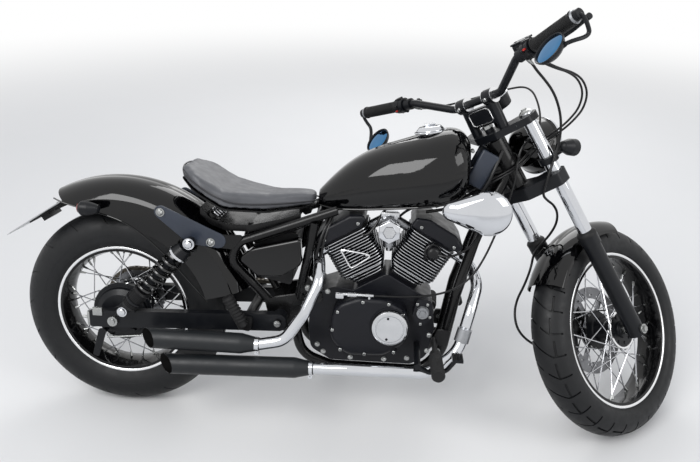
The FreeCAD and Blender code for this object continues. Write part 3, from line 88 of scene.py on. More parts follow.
FRONT_WHEEL = Vector((WHEELBASE, 0, AXLE_HEIGHT))
OUT = Vector((math.cos(RAKE), 0, math.sin(RAKE)))
ALONG = Vector((-math.sin(RAKE), 0, math.cos(RAKE)))
FOOT = FRONT_WHEEL - OUT * FORK_OFFSET
SIDE = Vector((0, 1, 0))
RIGHT = -SIDE
print("front axle at", STEER @ FRONT_WHEEL)


def fork_point(up, out, side):
    """A point in the drawing, given along the steering axis, ahead of it and to the left."""
    return FOOT + ALONG * up + OUT * out + SIDE * side


# %% [markdown]
# The camera stands where the photographer stood: just ahead of the rear wheel on the right, a little
# under eye height, looking down and slightly to its left. Its turns are given as three angles, because
# that is how a tripod head is set.

# %% Camera
CAMERA_AHEAD = 0.8267
CAMERA_RIGHT = -1.8390
CAMERA_HEIGHT = 1.4673
CAMERA_PAN = math.radians(4.31)
CAMERA_TILT = math.radians(-25.33)
CAMERA_ROLL = math.radians(-0.61)
CAMERA_LENS = 36.45
CAMERA_SENSOR = 36


def placed(name, data):
    """A new object in the scene."""
    obj = bpy.data.objects.new(name, data)
    scene.collection.objects.link(obj)
    return obj


lens = bpy.data.cameras.new("camera")
lens.lens = CAMERA_LENS
lens.sensor_width = CAMERA_SENSOR
camera = placed("camera", lens)
look = (Matrix.Rotation(CAMERA_PAN, 4, "Z") @ Matrix.Rotation(CAMERA_TILT, 4, "X")
        @ Matrix.Rotation(CAMERA_ROLL, 4, "Y") @ Matrix.Rotation(math.radians(90), 4, "X"))
camera.matrix_world = Matrix.Translation((rear_axle.x + CAMERA_AHEAD, rear_axle.y + CAMERA_RIGHT, CAMERA_HEIGHT)) @ look
scene.camera = camera
print("camera at", camera.location)

# %% [markdown]
# A material is a small tree of nodes. One function adds a node, sets it and links it, and one turns the
# colour as it is written on a paint card, in sRGB, to the linear numbers that the renderer counts with.

# %% Nodes and colours


def linear(code):
    """An sRGB hex colour such as "c8c4bd" as linear red, green, blue and alpha."""
    parts = [int(code[i:i + 2], 16) / 255 for i in (0, 2, 4)]
    return [v / 12.92 if v <= 0.04045 else ((v + 0.055) / 1.055) ** 2.4 for v in parts] + [1.0]


def add(tree, kind, values=None, links=None, **settings):
    """Adds a node with its settings, its sockets' values and its links from other nodes' outputs."""
    node = tree.nodes.new(kind)
    for name, value in settings.items():
        setattr(node, name, value)
    for socket, value in (values or {}).items():
        node.inputs[socket].default_value = value
    for socket, source in (links or {}).items():
        tree.links.new(source, node.inputs[socket])
    return node


# %% [markdown]
# Most of the machine is one of three things: paint, bare metal or rubber. Each has a colour that drifts
# softly over some centimetres, a gloss that is not even, and a fine grain that catches the light. So one
# function mixes two close tones by a soft noise, lets a second noise move the roughness, and raises a
# grain of a stated size in millimetres and height in micrometres as bump. All three noises read the
# object's own coordinates, so the pattern stays on a piece as it moves.

# %% One finish
COAT_ROUGHNESS = 0.04


def finish(name, tones, rough, grain, metallic=0.0, coat=0.0, patch=60, shine=0.5):
    """tones: dark and light hex; rough: low and high; grain: size in mm and height in micrometres."""
    material = bpy.data.materials.new(name)
    material.use_nodes = True
    tree = material.node_tree
    shader = tree.nodes["Principled BSDF"]
    place = add(tree, "ShaderNodeTexCoord").outputs["Object"]
    size, height = grain

    def noise(mm, detail, **settings):
        values = {"Scale": 1000 / mm, "Detail": detail, **settings}
        return add(tree, "ShaderNodeTexNoise", values, {"Vector": place}).outputs["Fac"]

    colour = add(tree, "ShaderNodeMix", links={"Factor": noise(patch, 5, Roughness=0.6)}, data_type="RGBA")
    colour.inputs["A"].default_value = linear(tones[0])
    colour.inputs["B"].default_value = linear(tones[1])
    gloss = add(tree, "ShaderNodeMapRange", {"From Min": 0.3, "From Max": 0.7, "To Min": rough[0],
                "To Max": rough[1]}, {"Value": noise(patch * 0.4, 6)})
    bump = add(tree, "ShaderNodeBump", {"Strength": 1.0, "Distance": height * 1e-6}, {"Height": noise(size, 3)})
    for socket, node in (("Base Color", colour), ("Roughness", gloss), ("Normal", bump)):
        output = "Normal" if node is bump else "Result"
        tree.links.new(node.outputs[output], shader.inputs[socket])
    for socket, value in (("Metallic", metallic), ("Coat Weight", coat), ("Coat Roughness", COAT_ROUGHNESS),
                          ("Specular IOR Level", shine)):
        shader.inputs[socket].default_value = value
    return material


# %% [markdown]
# Painted metal: the tank, fenders and side covers wear black enamel under clear lacquer, which mirrors
# the sky and shows a faint orange peel of about 3 mm. The frame is powder coated, a thicker skin with a
# softer shine. The engine is satin black, sprayed over rough castings. The mufflers wear heat-proof
# paint, which is matt and a little grey. The struts and the head panel have a blue-grey satin paint.

# %% Paints
SURFACES = {
    "gloss_black": finish("lacquered black enamel", ("020203", "050506"), (0.03, 0.08), (3.0, 5), shine=0.42),
    "frame_black": finish("black powder coat", ("060607", "0c0c0d"), (0.2, 0.32), (0.8, 15), shine=0.3),
    "satin_black": finish("satin black paint", ("0b0c0f", "14161a"), (0.3, 0.45), (0.6, 12), shine=0.25),
    "engine_black": finish("satin black on cast alloy", ("0b0c10", "15161c"), (0.3, 0.46), (1.2, 30), shine=0.25),
    "exhaust_black": finish("heat-proof matt black", ("101214", "1b1e21"), (0.38, 0.52), (0.5, 12), patch=90,
                            shine=0.35),
    "rim_black": finish("gloss black anodised rim", ("050506", "0a0a0b"), (0.1, 0.18), (2.0, 4), shine=0.3),
}
# Painted shade: the inner wall of each can is painted near black, standing for the shade inside the tube.
can_inside_painted_shade = finish("painted shade inside the cans", ("040404", "080707"), (0.8, 0.9), (0.8, 20), shine=0.1)
blue_grey_paint = finish("blue-grey satin paint", ("262b34", "323844"), (0.3, 0.42), (0.8, 10), shine=0.4)
print(len(SURFACES), "paints that slots name")

# %% [markdown]
# Bare metal: chrome is smooth and takes its look from what it mirrors. Spokes are drawn steel, the
# discs are ground, axles and bolts are plated with zinc, and the small castings are bare aluminium with
# the grain of the mould. The mirrors' glass is a smooth metal of the tint that it shows. A metal keeps
# the renderer's own refraction index.

# %% Metals


def metal(name, tones, rough, grain, **more):
    return finish(name, tones, rough, grain, metallic=1.0, **more)


SURFACES |= {
    "chrome": metal("chrome plate", ("c4c6ca", "d6d8dc"), (0.03, 0.07), (4.0, 2), patch=80),
    "spoke_steel": metal("drawn stainless wire", ("b0b1b4", "cbccd0"), (0.12, 0.22), (0.8, 4)),
    "disc_steel": metal("ground disc steel", ("6f7073", "8c8d90"), (0.24, 0.36), (0.6, 10)),
    "zinc_steel": metal("zinc plated steel", ("8d8f90", "b3b4b2"), (0.22, 0.36), (0.7, 8)),
    "chain_steel": metal("oiled chain steel", ("4a4640", "6a655d"), (0.28, 0.44), (0.5, 10)),
    "cast_alloy": metal("bare cast aluminium", ("84868a", "a6a8ab"), (0.34, 0.48), (1.1, 35)),
    "plate_sheet": metal("bare aluminium sheet", ("a8aaac", "bcbec0"), (0.3, 0.42), (0.8, 6)),
}
bright_alloy = metal("machined aluminium", ("b9bbbe", "d4d5d7"), (0.16, 0.26), (0.7, 6))
polished_edge = metal("polished aluminium edge", ("e2e3e5", "f0f0f1"), (0.14, 0.24), (1.2, 3))
blue_mirror = metal("blue tinted mirror", ("31618c", "4a86b4"), (0.02, 0.05), (9.0, 1), patch=70)
spring_black = finish("black enamel on spring steel", ("070708", "0d0d0e"), (0.16, 0.26), (1.5, 5), coat=0.4)
print(len(SURFACES), "finishes that slots name")

# %% [markdown]
# Rubber, plastic, leather and glass: tyres are carbon-black rubber, a little grey with dust, while the
# grips, pegs and cable sheaths stay a deeper black. Moulded plastic has a fine grain that keeps it matt.
# The headlamp's lens lets light through, so it has transmission and very fine ripples from the press.

# %% Rubbers, plastics and glass
SURFACES |= {
    "tyre_rubber": finish("tyre rubber", ("0c0d0f", "161719"), (0.42, 0.6), (0.7, 30), patch=45, shine=0.3),
    "grip_rubber": finish("grip rubber", ("0e0e0f", "161617"), (0.5, 0.66), (0.5, 20), shine=0.3),
    "peg_rubber": finish("peg rubber", ("101011", "1a1a1b"), (0.55, 0.72), (0.6, 25), shine=0.3),
    "cable_sheath": finish("smooth cable sheath", ("08080a", "0f0f11"), (0.26, 0.4), (1.0, 6), shine=0.3),
    "plastic_black": finish("grained black plastic", ("0c0c0e", "141416"), (0.42, 0.56), (0.5, 25), shine=0.3),
    # Painted sheen: the seat's black leather is lifted to grey, standing for the sky's sheen on its top.
    "seat_leather": finish("black seat leather lifted by painted sheen", ("434447", "56575b"), (0.42, 0.56), (1.6, 60), patch=50),
}
seam_leather = finish("seam leather", ("17171a", "232327"), (0.4, 0.55), (1.2, 60), patch=30)
red_plastic = finish("red moulded plastic", ("9c1c16", "b3261f"), (0.3, 0.42), (0.5, 10))
amber_lens = finish("amber lens plastic", ("b85a10", "d06f18"), (0.08, 0.16), (2.4, 40), coat=0.4)
red_lens_plastic = finish("red lens plastic", ("7d0f10", "9a1715"), (0.08, 0.16), (2.4, 40), coat=0.4)
dial_black = finish("matt black dial", ("0b0b0c", "111112"), (0.5, 0.6), (0.5, 8))
pale_paint = finish("pale dial paint", ("dcdcd6", "eceae4"), (0.5, 0.6), (0.5, 8))
clear_glass = finish("pressed clear glass", ("f2f6f6", "fafcfc"), (0.02, 0.05), (6.0, 30))
clear_glass.node_tree.nodes["Principled BSDF"].inputs["Transmission Weight"].default_value = 0.9
print(len(SURFACES), "finishes that slots name")

# %% [markdown]
# A new piece is drawn in the upright drawing, in millimetres, and carried to its place as its mesh is
# finished. It rides on the body that holds it, takes its finish from a named slot unless it has its
# own, and may stand for the plain solids that it replaces.

# %% Pieces
BODY_OF = {name: body for body, names in frame["record"]["behaviour"]["bodies"].items() for name in names}
SLOT_OF = {part["node"]: part["material_slot"] for part in frame["record"]["subparts"]}
STEERED = ("steering", "front_wheel")
made = []


def close(obj, body, replaced=()):
    """Lets a finished piece ride on its body and hides the solids that it replaces."""
    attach(obj, body)
    if replaced:
        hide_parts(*replaced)
    made.append(obj)
    print(obj.name, "rides on", body)
    return obj


def piece(name, shape, body, slot, material=None, place=None, replaced=(), sharp=40, flip=True):
    """A bmesh drawn in millimetres becomes a piece at its place on the machine."""
    if flip:
        bmesh.ops.recalc_face_normals(shape, faces=shape.faces)
    mesh = bpy.data.meshes.new(name)
    shape.to_mesh(mesh)
    shape.free()
    if place is None:
        place = STEER if body in STEERED else REST
    mesh.transform(place)
    mesh.shade_smooth()
    mesh.set_sharp_from_angle(angle=math.radians(sharp))
    for surface in material if isinstance(material, tuple) else (material or SURFACES[slot],):
        mesh.materials.append(surface)
    return close(placed(name, mesh), body, replaced)


def modify(obj, kind, **settings):
    """Adds a modifier with its settings."""
    modifier = obj.modifiers.new(kind.lower(), kind)
    for name, value in settings.items():
        setattr(modifier, name, value)
    return modifier


# %% [markdown]
# Everything new is drawn with a handful of moves. A place is a matrix whose Z points along an axis, a
# drum is a straight bar or cone between two points, and a spun shape is a line of (radius, distance)
# points turned once about an axis. Blocks and plates are boxes whose edges are rounded.

# %% Drawing tools


def aim(origin, axis, across=(0, 1, 0)):
    """A place at a point, its Z along an axis and its X as near to a second direction as it can be."""
    up = Vector(axis).normalized()
    side = Vector(across)
    side = side - up * side.dot(up)
    if side.length < 0.01:
        side = Vector((1, 0, 0)) - up * up.x
    side.normalize()
    return Matrix.Translation(origin) @ Matrix((side, up.cross(side), up)).transposed().to_4x4()


def moved(x, y, z):
    return Matrix.Translation((x, y, z))


def drum(shape, start, end, radius, end_radius=None, segments=24):
    """A round bar between two points, or a cone if its end has another radius."""
    start, end = Vector(start), Vector(end)
    bmesh.ops.create_cone(shape, cap_ends=True, segments=segments, radius1=radius,
                          radius2=radius if end_radius is None else end_radius, depth=(end - start).length,
                          matrix=aim((start + end) / 2, end - start))


def spun(shape, line, origin, axis, steps=48, across=(0, 1, 0)):
    """A line of (radius, distance) points spun once about an axis; its poles are merged."""
    place = aim(origin, axis, across)
    verts = [shape.verts.new(place @ Vector((radius, 0, away))) for radius, away in line]
    edges = [shape.edges.new(pair) for pair in zip(verts, verts[1:])]
    bmesh.ops.spin(shape, geom=verts + edges, cent=Vector(origin), axis=place.col[2].xyz,
                   angle=2 * math.pi, steps=steps, use_merge=True, use_duplicate=False)
    bmesh.ops.remove_doubles(shape, verts=shape.verts, dist=0.002)


def hoop(shape, line, origin, axis, steps=48, across=(0, 1, 0)):
    """A closed section spun once about an axis: its last point is its first again."""
    spun(shape, [*line, line[0]], origin, axis, steps, across)


def soften(shape, edges, width, segments=2):
    """Rounds some edges of a shape."""
    bmesh.ops.bevel(shape, geom=list(edges), offset=width, segments=segments, profile=0.5, affect="EDGES",
                    clamp_overlap=True, material=-1)


def creases(shape, angle):
    """The edges where two faces meet at more than an angle."""
    return [edge for edge in shape.edges if len(edge.link_faces) == 2 and edge.calc_face_angle() > angle]


def edges_of(new):
    """The edges round what an operator has just made."""
    return {edge for vert in new["verts"] for edge in vert.link_edges}


def only(items, kind):
    """The vertices, or the faces, among what an operator gives back."""
    return [item for item in items if isinstance(item, kind)]


def block(shape, place, size, round_by=1.5, segments=2):
    """A box with rounded edges, centred on a place."""
    cube = bmesh.ops.create_cube(shape, size=1.0, matrix=place @ Matrix.Diagonal((*size, 1)))
    soften(shape, edges_of(cube), round_by, segments)


def plate(shape, place, size, corner, segments=2):
    """A flat plate, square to its place's Z, with its four corners rounded."""
    cube = bmesh.ops.create_cube(shape, size=1.0, matrix=place @ Matrix.Diagonal((*size, 1)))
    up = place.col[2].xyz
    upright = [edge for edge in edges_of(cube)
               if abs((edge.verts[0].co - edge.verts[1].co).normalized().dot(up)) > 0.9]
    soften(shape, upright, corner, segments)


def join(shape, other):
    """Adds a finished shape to another."""
    mesh = bpy.data.meshes.new("part")
    other.to_mesh(mesh)
    other.free()
    shape.from_mesh(mesh)
    bpy.data.meshes.remove(mesh)


# %% [markdown]
# Bent bars and cables are NURBS curves, because their control points are few and the curve between them
# is as smooth as a real bend.

# %% Curves


def strand(name, points, radius, closed=False, sides=3, detail=6):
    """A NURBS curve of order 3 with a round section; points and radius are in the units of its place."""
    curve = bpy.data.curves.new(name, "CURVE")
    curve.dimensions = "3D"
    curve.bevel_depth = radius
    curve.bevel_resolution = sides
    curve.resolution_u = detail
    curve.use_fill_caps = True
    spline = curve.splines.new("NURBS")
    spline.points.add(len(points) - 1)
    for point, place in zip(spline.points, points):
        point.co = (*place, 1)
    spline.use_cyclic_u = closed
    spline.use_endpoint_u = not closed
    spline.order_u = 3
    return placed(name, curve)


def as_mesh(line):
    """The mesh of a strand, which is then removed."""
    bpy.context.view_layer.update()
    mesh = bpy.data.meshes.new_from_object(line)
    curve = line.data
    bpy.data.objects.remove(line)
    bpy.data.curves.remove(curve)
    return mesh


def wire(shape, points, radius, closed=False, sides=2, detail=6):
    """A bent bar in a shape."""
    mesh = as_mesh(strand("line", points, radius, closed, sides, detail))
    shape.from_mesh(mesh)
    bmesh.ops.remove_doubles(shape, verts=shape.verts, dist=0.002)
    bpy.data.meshes.remove(mesh)


# %% [markdown]
# Bolts are everywhere on a motorcycle and are most of what makes it look assembled. A bolt here is a
# washer, a six-sided head and the small chamfer of its top; a socket bolt is a round head with a sunk
# key hole, cut by an inset that is pushed down.

# %% Bolts


def bolt(shape, seat, way, size=6):
    """A hexagon bolt of a thread size, its washer on the seat."""
    seat, way = Vector(seat), Vector(way).normalized()
    low, high = seat + way * 0.2 * size, seat + way * 0.72 * size
    drum(shape, seat, low, 1.1 * size, segments=20)
    drum(shape, low, high, 0.92 * size, segments=6)
    drum(shape, high, high + way * 0.12 * size, 0.92 * size, 0.74 * size, segments=6)


def socket_bolt(shape, seat, way, size=6):
    """A round-headed bolt with a key hole."""
    seat, way = Vector(seat), Vector(way).normalized()
    top = seat + way * size
    drum(shape, seat, top, 0.8 * size, segments=18)
    before = set(shape.faces)
    drum(shape, top, top + way * 0.15 * size, 0.8 * size, 0.62 * size, segments=18)
    lids = [face for face in set(shape.faces) - before
            if len(face.verts) == 18 and face.calc_center_median().dot(way) > top.dot(way)]
    bmesh.ops.inset_region(shape, faces=lids, thickness=0.28 * size, depth=0)
    bmesh.ops.inset_region(shape, faces=lids, thickness=0.02 * size, depth=-0.5 * size)


# %% [markdown]
# Most hard pieces keep the shape of their solid. What a solid lacks is the small rounding of its edges,
# which on a real casting or bracket catches a thin line of light. So a copy of the solid's mesh is
# merged, its flat faces are made whole again, its sharp edges are bevelled, and the copy stands for it.

# %% Rounded copies of the solids
EDGE_ANGLE = math.radians(32)
FLAT_ANGLE = math.radians(0.8)
SAME_POINT = 5e-6
USUAL_EDGE = 0.8
DRAWN_ANEW = {"front_tyre", "rear_tyre", "front_disc", "seat_cushion", "seat_springs", "shock_springs",
              "brake_hose", "control_cables", "drive_chain", "grips", "mirrors", "mufflers",
              "chrome_covers"}
EDGE_WIDTHS = {"fuel_tank": 0, "rear_fender": 0.6, "front_fender": 0.6, "side_covers": 2.0, "crankcase": 3.0,
               "engine_covers": 1.5, "rocker_covers": 2.5, "cylinders": 0.3, "fork_clamps": 2.0,
               "swingarm": 2.5, "front_spokes": 0, "rear_spokes": 0, "headlamp": 1.5, "carburettor": 2.0}


def solid_copy(node):
    """A solid's mesh, merged, with its flat faces whole."""
    shape = bmesh.new()
    shape.from_mesh(frame["nodes"][node].data)
    bmesh.ops.remove_doubles(shape, verts=shape.verts, dist=SAME_POINT)
    bmesh.ops.dissolve_limit(shape, angle_limit=FLAT_ANGLE, verts=shape.verts, edges=shape.edges)
    return shape


for node in sorted(set(frame["nodes"]) - DRAWN_ANEW):
    shape = solid_copy(node)
    width = EDGE_WIDTHS.get(node, USUAL_EDGE)
    if width:
        soften(shape, creases(shape, EDGE_ANGLE), width * 0.001)
    obj = piece(node + "_dressed", shape, BODY_OF[node], SLOT_OF[node], place=Matrix.Identity(4),
                replaced=(node,), sharp=50, flip=False)
    modify(obj, "WEIGHTED_NORMAL", keep_sharp=True)

# %% [markdown]
# A tyre's crown is a half circle and its sidewalls are flatter arcs that come down to the bead, so its
# section is worked out from four sizes and spun in as many steps as the tread needs. The tread is cut
# where the ring of faces already lies right: the columns of vertices are slid round the wheel so that
# each row of faces zigzags, then the faces of the grooves are inset and pushed in, which leaves the
# blocks standing with sharp walls. The front tyre has large trail blocks, the rear one a street tread
# of two rings and short slanting sipes.

# %% Tyres
TREAD_STEPS = 12
CROWN_COLUMNS = 28
WALL_COLUMNS = 7
BEAD_GAP = 0.3
BEAD_WIDTH = 7.3
BEAD_DEPTH = 11.7
RIB_HALF = 1.6
RIB_ROOT = 1.4


def tyre_line(widest, crown, rim, bead):
    """The half section from the middle of the crown out to the left bead, as (radius, side) points."""
    points = []
    for i in range(CROWN_COLUMNS // 2 + 1):
        turn_by = math.pi * i / CROWN_COLUMNS
        points.append((widest + crown * math.cos(turn_by), crown * math.sin(turn_by)))
    drop, pull = widest - rim, crown - bead
    wall = (drop * drop + pull * pull) / (2 * pull)
    for i in range(1, WALL_COLUMNS + 1):
        turn_by = math.asin(drop / wall) * i / WALL_COLUMNS
        points.append((widest - wall * math.sin(turn_by), crown - wall * (1 - math.cos(turn_by))))
    return points


def tyre(name, node, centre, widest, crown, rim, bead, pitches, groove, slide, is_groove, walls):
    """A tyre whose tread is cut by a rule that names the groove faces by pitch, row and column."""
    half = tyre_line(widest, crown, rim + BEAD_GAP, bead)
    line = [(radius, -side) for radius, side in reversed(half[1:])] + half
    high, low, wide = rim + BEAD_GAP, rim - BEAD_DEPTH, bead - BEAD_WIDTH
    steps = pitches * TREAD_STEPS
    step = 2 * math.pi / steps
    shape = bmesh.new()
    hoop(shape, line + [(high, wide), (low, wide), (low, -wide), (high, -wide)], centre, SIDE, steps)
    bmesh.ops.recalc_face_normals(shape, faces=shape.faces)

    def column_at(away):
        lift = math.hypot(away.x, away.z) - widest
        return lift, math.degrees(math.atan2(away.y, max(lift, 0))) / (180 / CROWN_COLUMNS)

    cut = []
    for face in shape.faces:
        away = face.calc_center_median() - centre
        lift, column = column_at(away)
        row = math.floor(math.atan2(away.x, away.z) / step) % steps
        if lift >= 0 and is_groove(row // TREAD_STEPS, row % TREAD_STEPS, column):
            cut.append(face)
    for vert in shape.verts:
        away = vert.co - centre
        lift, column = column_at(away)
        if lift > -1:
            vert.co = centre + Matrix.Rotation(slide(column) * step, 3, "Y") @ away
    bmesh.ops.inset_region(shape, faces=cut, thickness=0.5, depth=-groove, use_even_offset=True)
    for radius, raised in walls:
        out = bead + (crown - bead) * (1 - ((widest - radius) / (widest - rim)) ** 2)
        for side in (-1, 1):
            hoop(shape, [(radius - RIB_HALF, side * (out - RIB_ROOT)), (radius, side * (out + raised)),
                         (radius + RIB_HALF, side * (out - RIB_ROOT))], centre, SIDE, 120)
    print(name, len(shape.faces), "faces,", len(cut), "in grooves")
    piece(name, shape, BODY_OF[node], "tyre_rubber", replaced=(node,), sharp=32)


def trail_slide(column):
    """The blocks' edges run slantwise across the middle and straight on the shoulders."""
    return max(-5.0, min(5.0, column)) * 0.9


def trail_groove(pitch, row, column):
    """One groove across the tread at each pitch, and on each shoulder a short one along it."""
    if abs(column) > 11.2:
        return False
    if row == 0:
        return abs(column) > 1 or pitch % 2 == 0
    ring = 6 if pitch % 2 == 0 else 5
    return ring < abs(column) < ring + 1 and row < 9


def street_slide(column):
    """Every row slants back from the middle to both shoulders."""
    return abs(column) * 1.1


def street_groove(pitch, row, column):
    """Two rings round the tyre, and sipes that slant out from them on alternate sides."""
    if 2 < abs(column) < 3:
        return True
    if row not in (0, 6) or pitch % 2:
        return False
    way = 1 if row == 0 else -1
    return 4 < column * way < 10


tyre("front_tyre_treaded", "front_tyre", FRONT_WHEEL, widest=256, crown=57, rim=231, bead=42, pitches=30,
     groove=5.5, slide=trail_slide, is_groove=trail_groove, walls=((240, 0.5),))
tyre("rear_tyre_treaded", "rear_tyre", REAR_WHEEL, widest=248, crown=63, rim=205, bead=47, pitches=36,
     groove=2.6, slide=street_slide, is_groove=street_groove, walls=((214, 0.6), (240, 0.3)))

# %% [markdown]
# The rims are black with a polished ring along each edge, which is the brightest line on the wheel.
# The ring is a thin spun band that hugs the flange. Each spoke screws into a nipple at the rim, a small
# cone that stands along the spoke, so the spokes' two ends are worked out once and used here.

# %% Rims, nipples and spoke heads
SPOKES = 18
SPOKE_SPLIT = 2.6
NIPPLE_LENGTH = 15
RIM_WELL = 25
RING_DEPTH = 8.5


def dress_wheel(name, body, centre, rim, bead, lead, flanges):
    """The polished edges, the nipples and the spoke heads of one wheel."""
    edge, nipples, heads = bmesh.new(), bmesh.new(), bmesh.new()
    band = [(rim - RING_DEPTH, bead - 0.5), (rim - RING_DEPTH + 1.2, bead + 1.2), (rim - 2.4, bead + 2.2),
            (rim - 0.6, bead + 1.4), (rim - 0.2, bead - 1.0)]
    for side in (-1, 1):
        hoop(edge, [(radius, away * side) for radius, away in band], centre, SIDE, 160)
    for rim_edge, middle in flanges:
        side = 1 if middle > 0 else -1
        for i in range(SPOKES):
            way = 1 if i % 2 else -1
            hub_angle = 2 * math.pi * (i + (0.5 if side > 0 else 0)) / SPOKES
            rim_angle = hub_angle + math.radians(lead) * way
            hub_end, rim_end = (centre + Vector((reach * math.cos(angle), away + way * SPOKE_SPLIT,
                                                 reach * math.sin(angle)))
                                for reach, angle, away in ((rim_edge, hub_angle, middle),
                                                           (rim - RIM_WELL, rim_angle, side * 9)))
            lie = (hub_end - rim_end).normalized()
            drum(nipples, rim_end - lie * 1.5, rim_end + lie * NIPPLE_LENGTH, 3.9, 2.9, 8)
            drum(heads, hub_end - lie * 6, hub_end + lie * 1, 3.4, 3.0, 8)
    piece(name + "_rim_edges", edge, body, "chrome", polished_edge, sharp=50)
    piece(name + "_spoke_nipples", nipples, body, "zinc_steel", sharp=35)
    piece(name + "_spoke_heads", heads, body, "zinc_steel", sharp=35)


dress_wheel("front", "front_wheel", FRONT_WHEEL, 231, 42, 62, ((58, -47), (58, 37)))
dress_wheel("rear", "rear_wheel", REAR_WHEEL, 205, 47, 38, ((91, -47), (66, 44)))

# %% [markdown]
# The front brake ring is drilled in two staggered rows to shed water. A flat ring of small cells is
# spun, every third cell of three columns gets an inset whose corners are bevelled, which turns its
# square into an eight-sided hole, and the sheet is then given its thickness.

# %% Drilled disc
DISC_CELLS = 60
DISC_COLUMNS = 5
DRILLED = ((1, 0), (3, 1), (2, 2))


def drilled_ring(shape, centre, side, thick, inner, outer):
    """A flat ring with holes; returns how many."""
    cell = (outer - inner) / DISC_COLUMNS
    verts = [shape.verts.new(centre + Vector((0, side, inner + cell * i))) for i in range(DISC_COLUMNS + 1)]
    edges = [shape.edges.new(pair) for pair in zip(verts, verts[1:])]
    bmesh.ops.spin(shape, geom=verts + edges, cent=centre, axis=SIDE, angle=2 * math.pi, steps=DISC_CELLS,
                   use_merge=True, use_duplicate=False)
    bmesh.ops.remove_doubles(shape, verts=shape.verts, dist=0.01)
    cells = []
    for face in shape.faces:
        middle = face.calc_center_median() - centre
        column = int((math.hypot(middle.x, middle.z) - inner) / cell)
        turn_by = round(math.atan2(middle.x, middle.z) / (2 * math.pi) * DISC_CELLS - 0.5)
        if (column, turn_by % 3) in DRILLED:
            cells.append(face)
    bmesh.ops.inset_individual(shape, faces=cells, thickness=0.9, depth=0)
    corners = list({vert for face in cells for vert in face.verts})
    bmesh.ops.bevel(shape, geom=corners, offset=1.5, segments=1, profile=0.5, affect="VERTICES",
                    clamp_overlap=True, material=-1)
    holes = [face for face in shape.faces if len(face.verts) == 8 and face.calc_area() < 60]
    bmesh.ops.delete(shape, geom=holes, context="FACES_ONLY")
    bmesh.ops.recalc_face_normals(shape, faces=shape.faces)
    bmesh.ops.solidify(shape, geom=shape.faces, thickness=thick)
    return len(holes)


def around(centre, count, start=0.0):
    """Places turned evenly about a wheel's axle, from an angle in degrees."""
    for i in range(count):
        yield Matrix.Translation(centre) @ Matrix.Rotation(math.radians(360 * i / count + start), 4, "Y")


disc = bmesh.new()
print("holes", drilled_ring(disc, FRONT_WHEEL, 55.5, 5, 98, 133))
hoop(disc, [(20, 53.1), (58, 53.1), (58, 57.9), (20, 57.9)], FRONT_WHEEL, SIDE)
for arm in around(FRONT_WHEEL, 6):
    block(disc, arm @ moved(78, 55.5, 0), (52, 4.6, 20), 1.2)
    drum(disc, arm @ Vector((103, 52, 0)), arm @ Vector((103, 60, 0)), 5.5, segments=12)
piece("front_disc_drilled", disc, "front_wheel", "disc_steel", replaced=("front_disc",), sharp=30)

# %% [markdown]
# The front hub's right end is a black cap with nine lugs inside a polished ring, and the rear sprocket
# is held by six bolts.

# %% Hub ends
hub_trim, hub_bolts, sprocket_bolts = bmesh.new(), bmesh.new(), bmesh.new()
hoop(hub_trim, [(52, -50.2), (52.6, -52), (57.5, -52), (58.6, -50.2), (58.6, -44), (57.8, -44)], FRONT_WHEEL,
     SIDE, 72)
for spot in around(FRONT_WHEEL, 9):
    drum(hub_bolts, spot @ Vector((41, -49.5, 0)), spot @ Vector((41, -52.5, 0)), 5.4, 4.8, 14)
spun(hub_bolts, [(0, -58.2), (20, -58.2), (24.5, -55), (26, -50.2), (0, -50.2)], FRONT_WHEEL, SIDE, 40)
for spot in around(REAR_WHEEL, 6, 15):
    bolt(sprocket_bolts, spot @ Vector((70, 87.8, 0)), SIDE, 8)
piece("front_hub_edge", hub_trim, "front_wheel", "chrome", polished_edge)
piece("front_hub_lugs", hub_bolts, "front_wheel", "satin_black", sharp=35)
piece("rear_sprocket_bolts", sprocket_bolts, "rear_wheel", "zinc_steel", sharp=30)

# %% [markdown]
# The brake hose, the two throttle cables and the clutch cable are what ties the fork to the rest of the
# machine. Each is one NURBS curve. Its control points are given up the steering axis, ahead of it and
# to the left, so they turn with the bar. The hose stays on the fork. The cables go on to the engine, so
# their points change from the turned fork to the still frame at the steering head.

# %% Routes of the hose and the cables
HOSE = ((865, -1, -218), (848, 11, -216), (822, 24, -210), (790, 44, -204), (752, 64, -196), (712, 78, -183),
        (668, 84, -166), (626, 76, -147), (588, 50, -127), (556, 12, -112), (530, -8, -97), (506, -20, -80),
        (482, -4, -71), (450, 28, -58), (414, 48, -40), (378, 54, -12), (352, 44, 20), (336, 30, 48),
        (322, 17, 72), (304, 8, 88), (284, -5, 96), (264, -34, 102), (246, -72, 107), (236, -108, 109),
        (212, -148, 108), (172, -172, 104), (130, -168, 97), (92, -150, 88), (62, -121.5, 76),
        (48.1, -95.6, 70))
THROTTLE = ((864.6, -0.9, -246), (845, 13, -243), (822, 38, -240), (796, 72, -238), (770, 112, -235),
            (735, 146, -229), (693, 160, -214), (660, 147, -190), (644, 127, -163), (633, 108, -134),
            (627, 100, -104), (620, 86, -76), (612, 60, -52), (604, 32, -42))
THROTTLE_AT_HEAD = ((602, 26, -38), (601, -8, -46), (600, -44, -44), (599, -76, -38))
THROTTLE_ON_FRAME = ((1047, -32, 742), (1000, -31, 722), (960, -30, 700), (920, -28, 686), (880, -26, 677),
                     (846, -22, 664), (826, -20, 642.3))
CLUTCH = ((865, -1, 218), (850, 16, 214), (834, 48, 205), (818, 88, 190), (803, 130, 166), (790, 170, 134),
          (778, 204, 98), (768, 226, 58), (757, 236, 16), (738, 222, -16), (712, 188, -42), (684, 152, -60),
          (662, 120, -68), (648, 94, -64), (640, 70, -46), (632, 48, -32))
CLUTCH_AT_HEAD = ((620, 30, -44), (596, 12, -52), (566, -8, -58))
CLUTCH_ON_FRAME = ((1112, -66, 668), (1094, -78, 616), (1072, -90, 560), (1042, -102, 505), (998, -112, 466),
                   (940, -122, 446), (868, -128, 438), (800, -131, 437), (742, -131, 437))
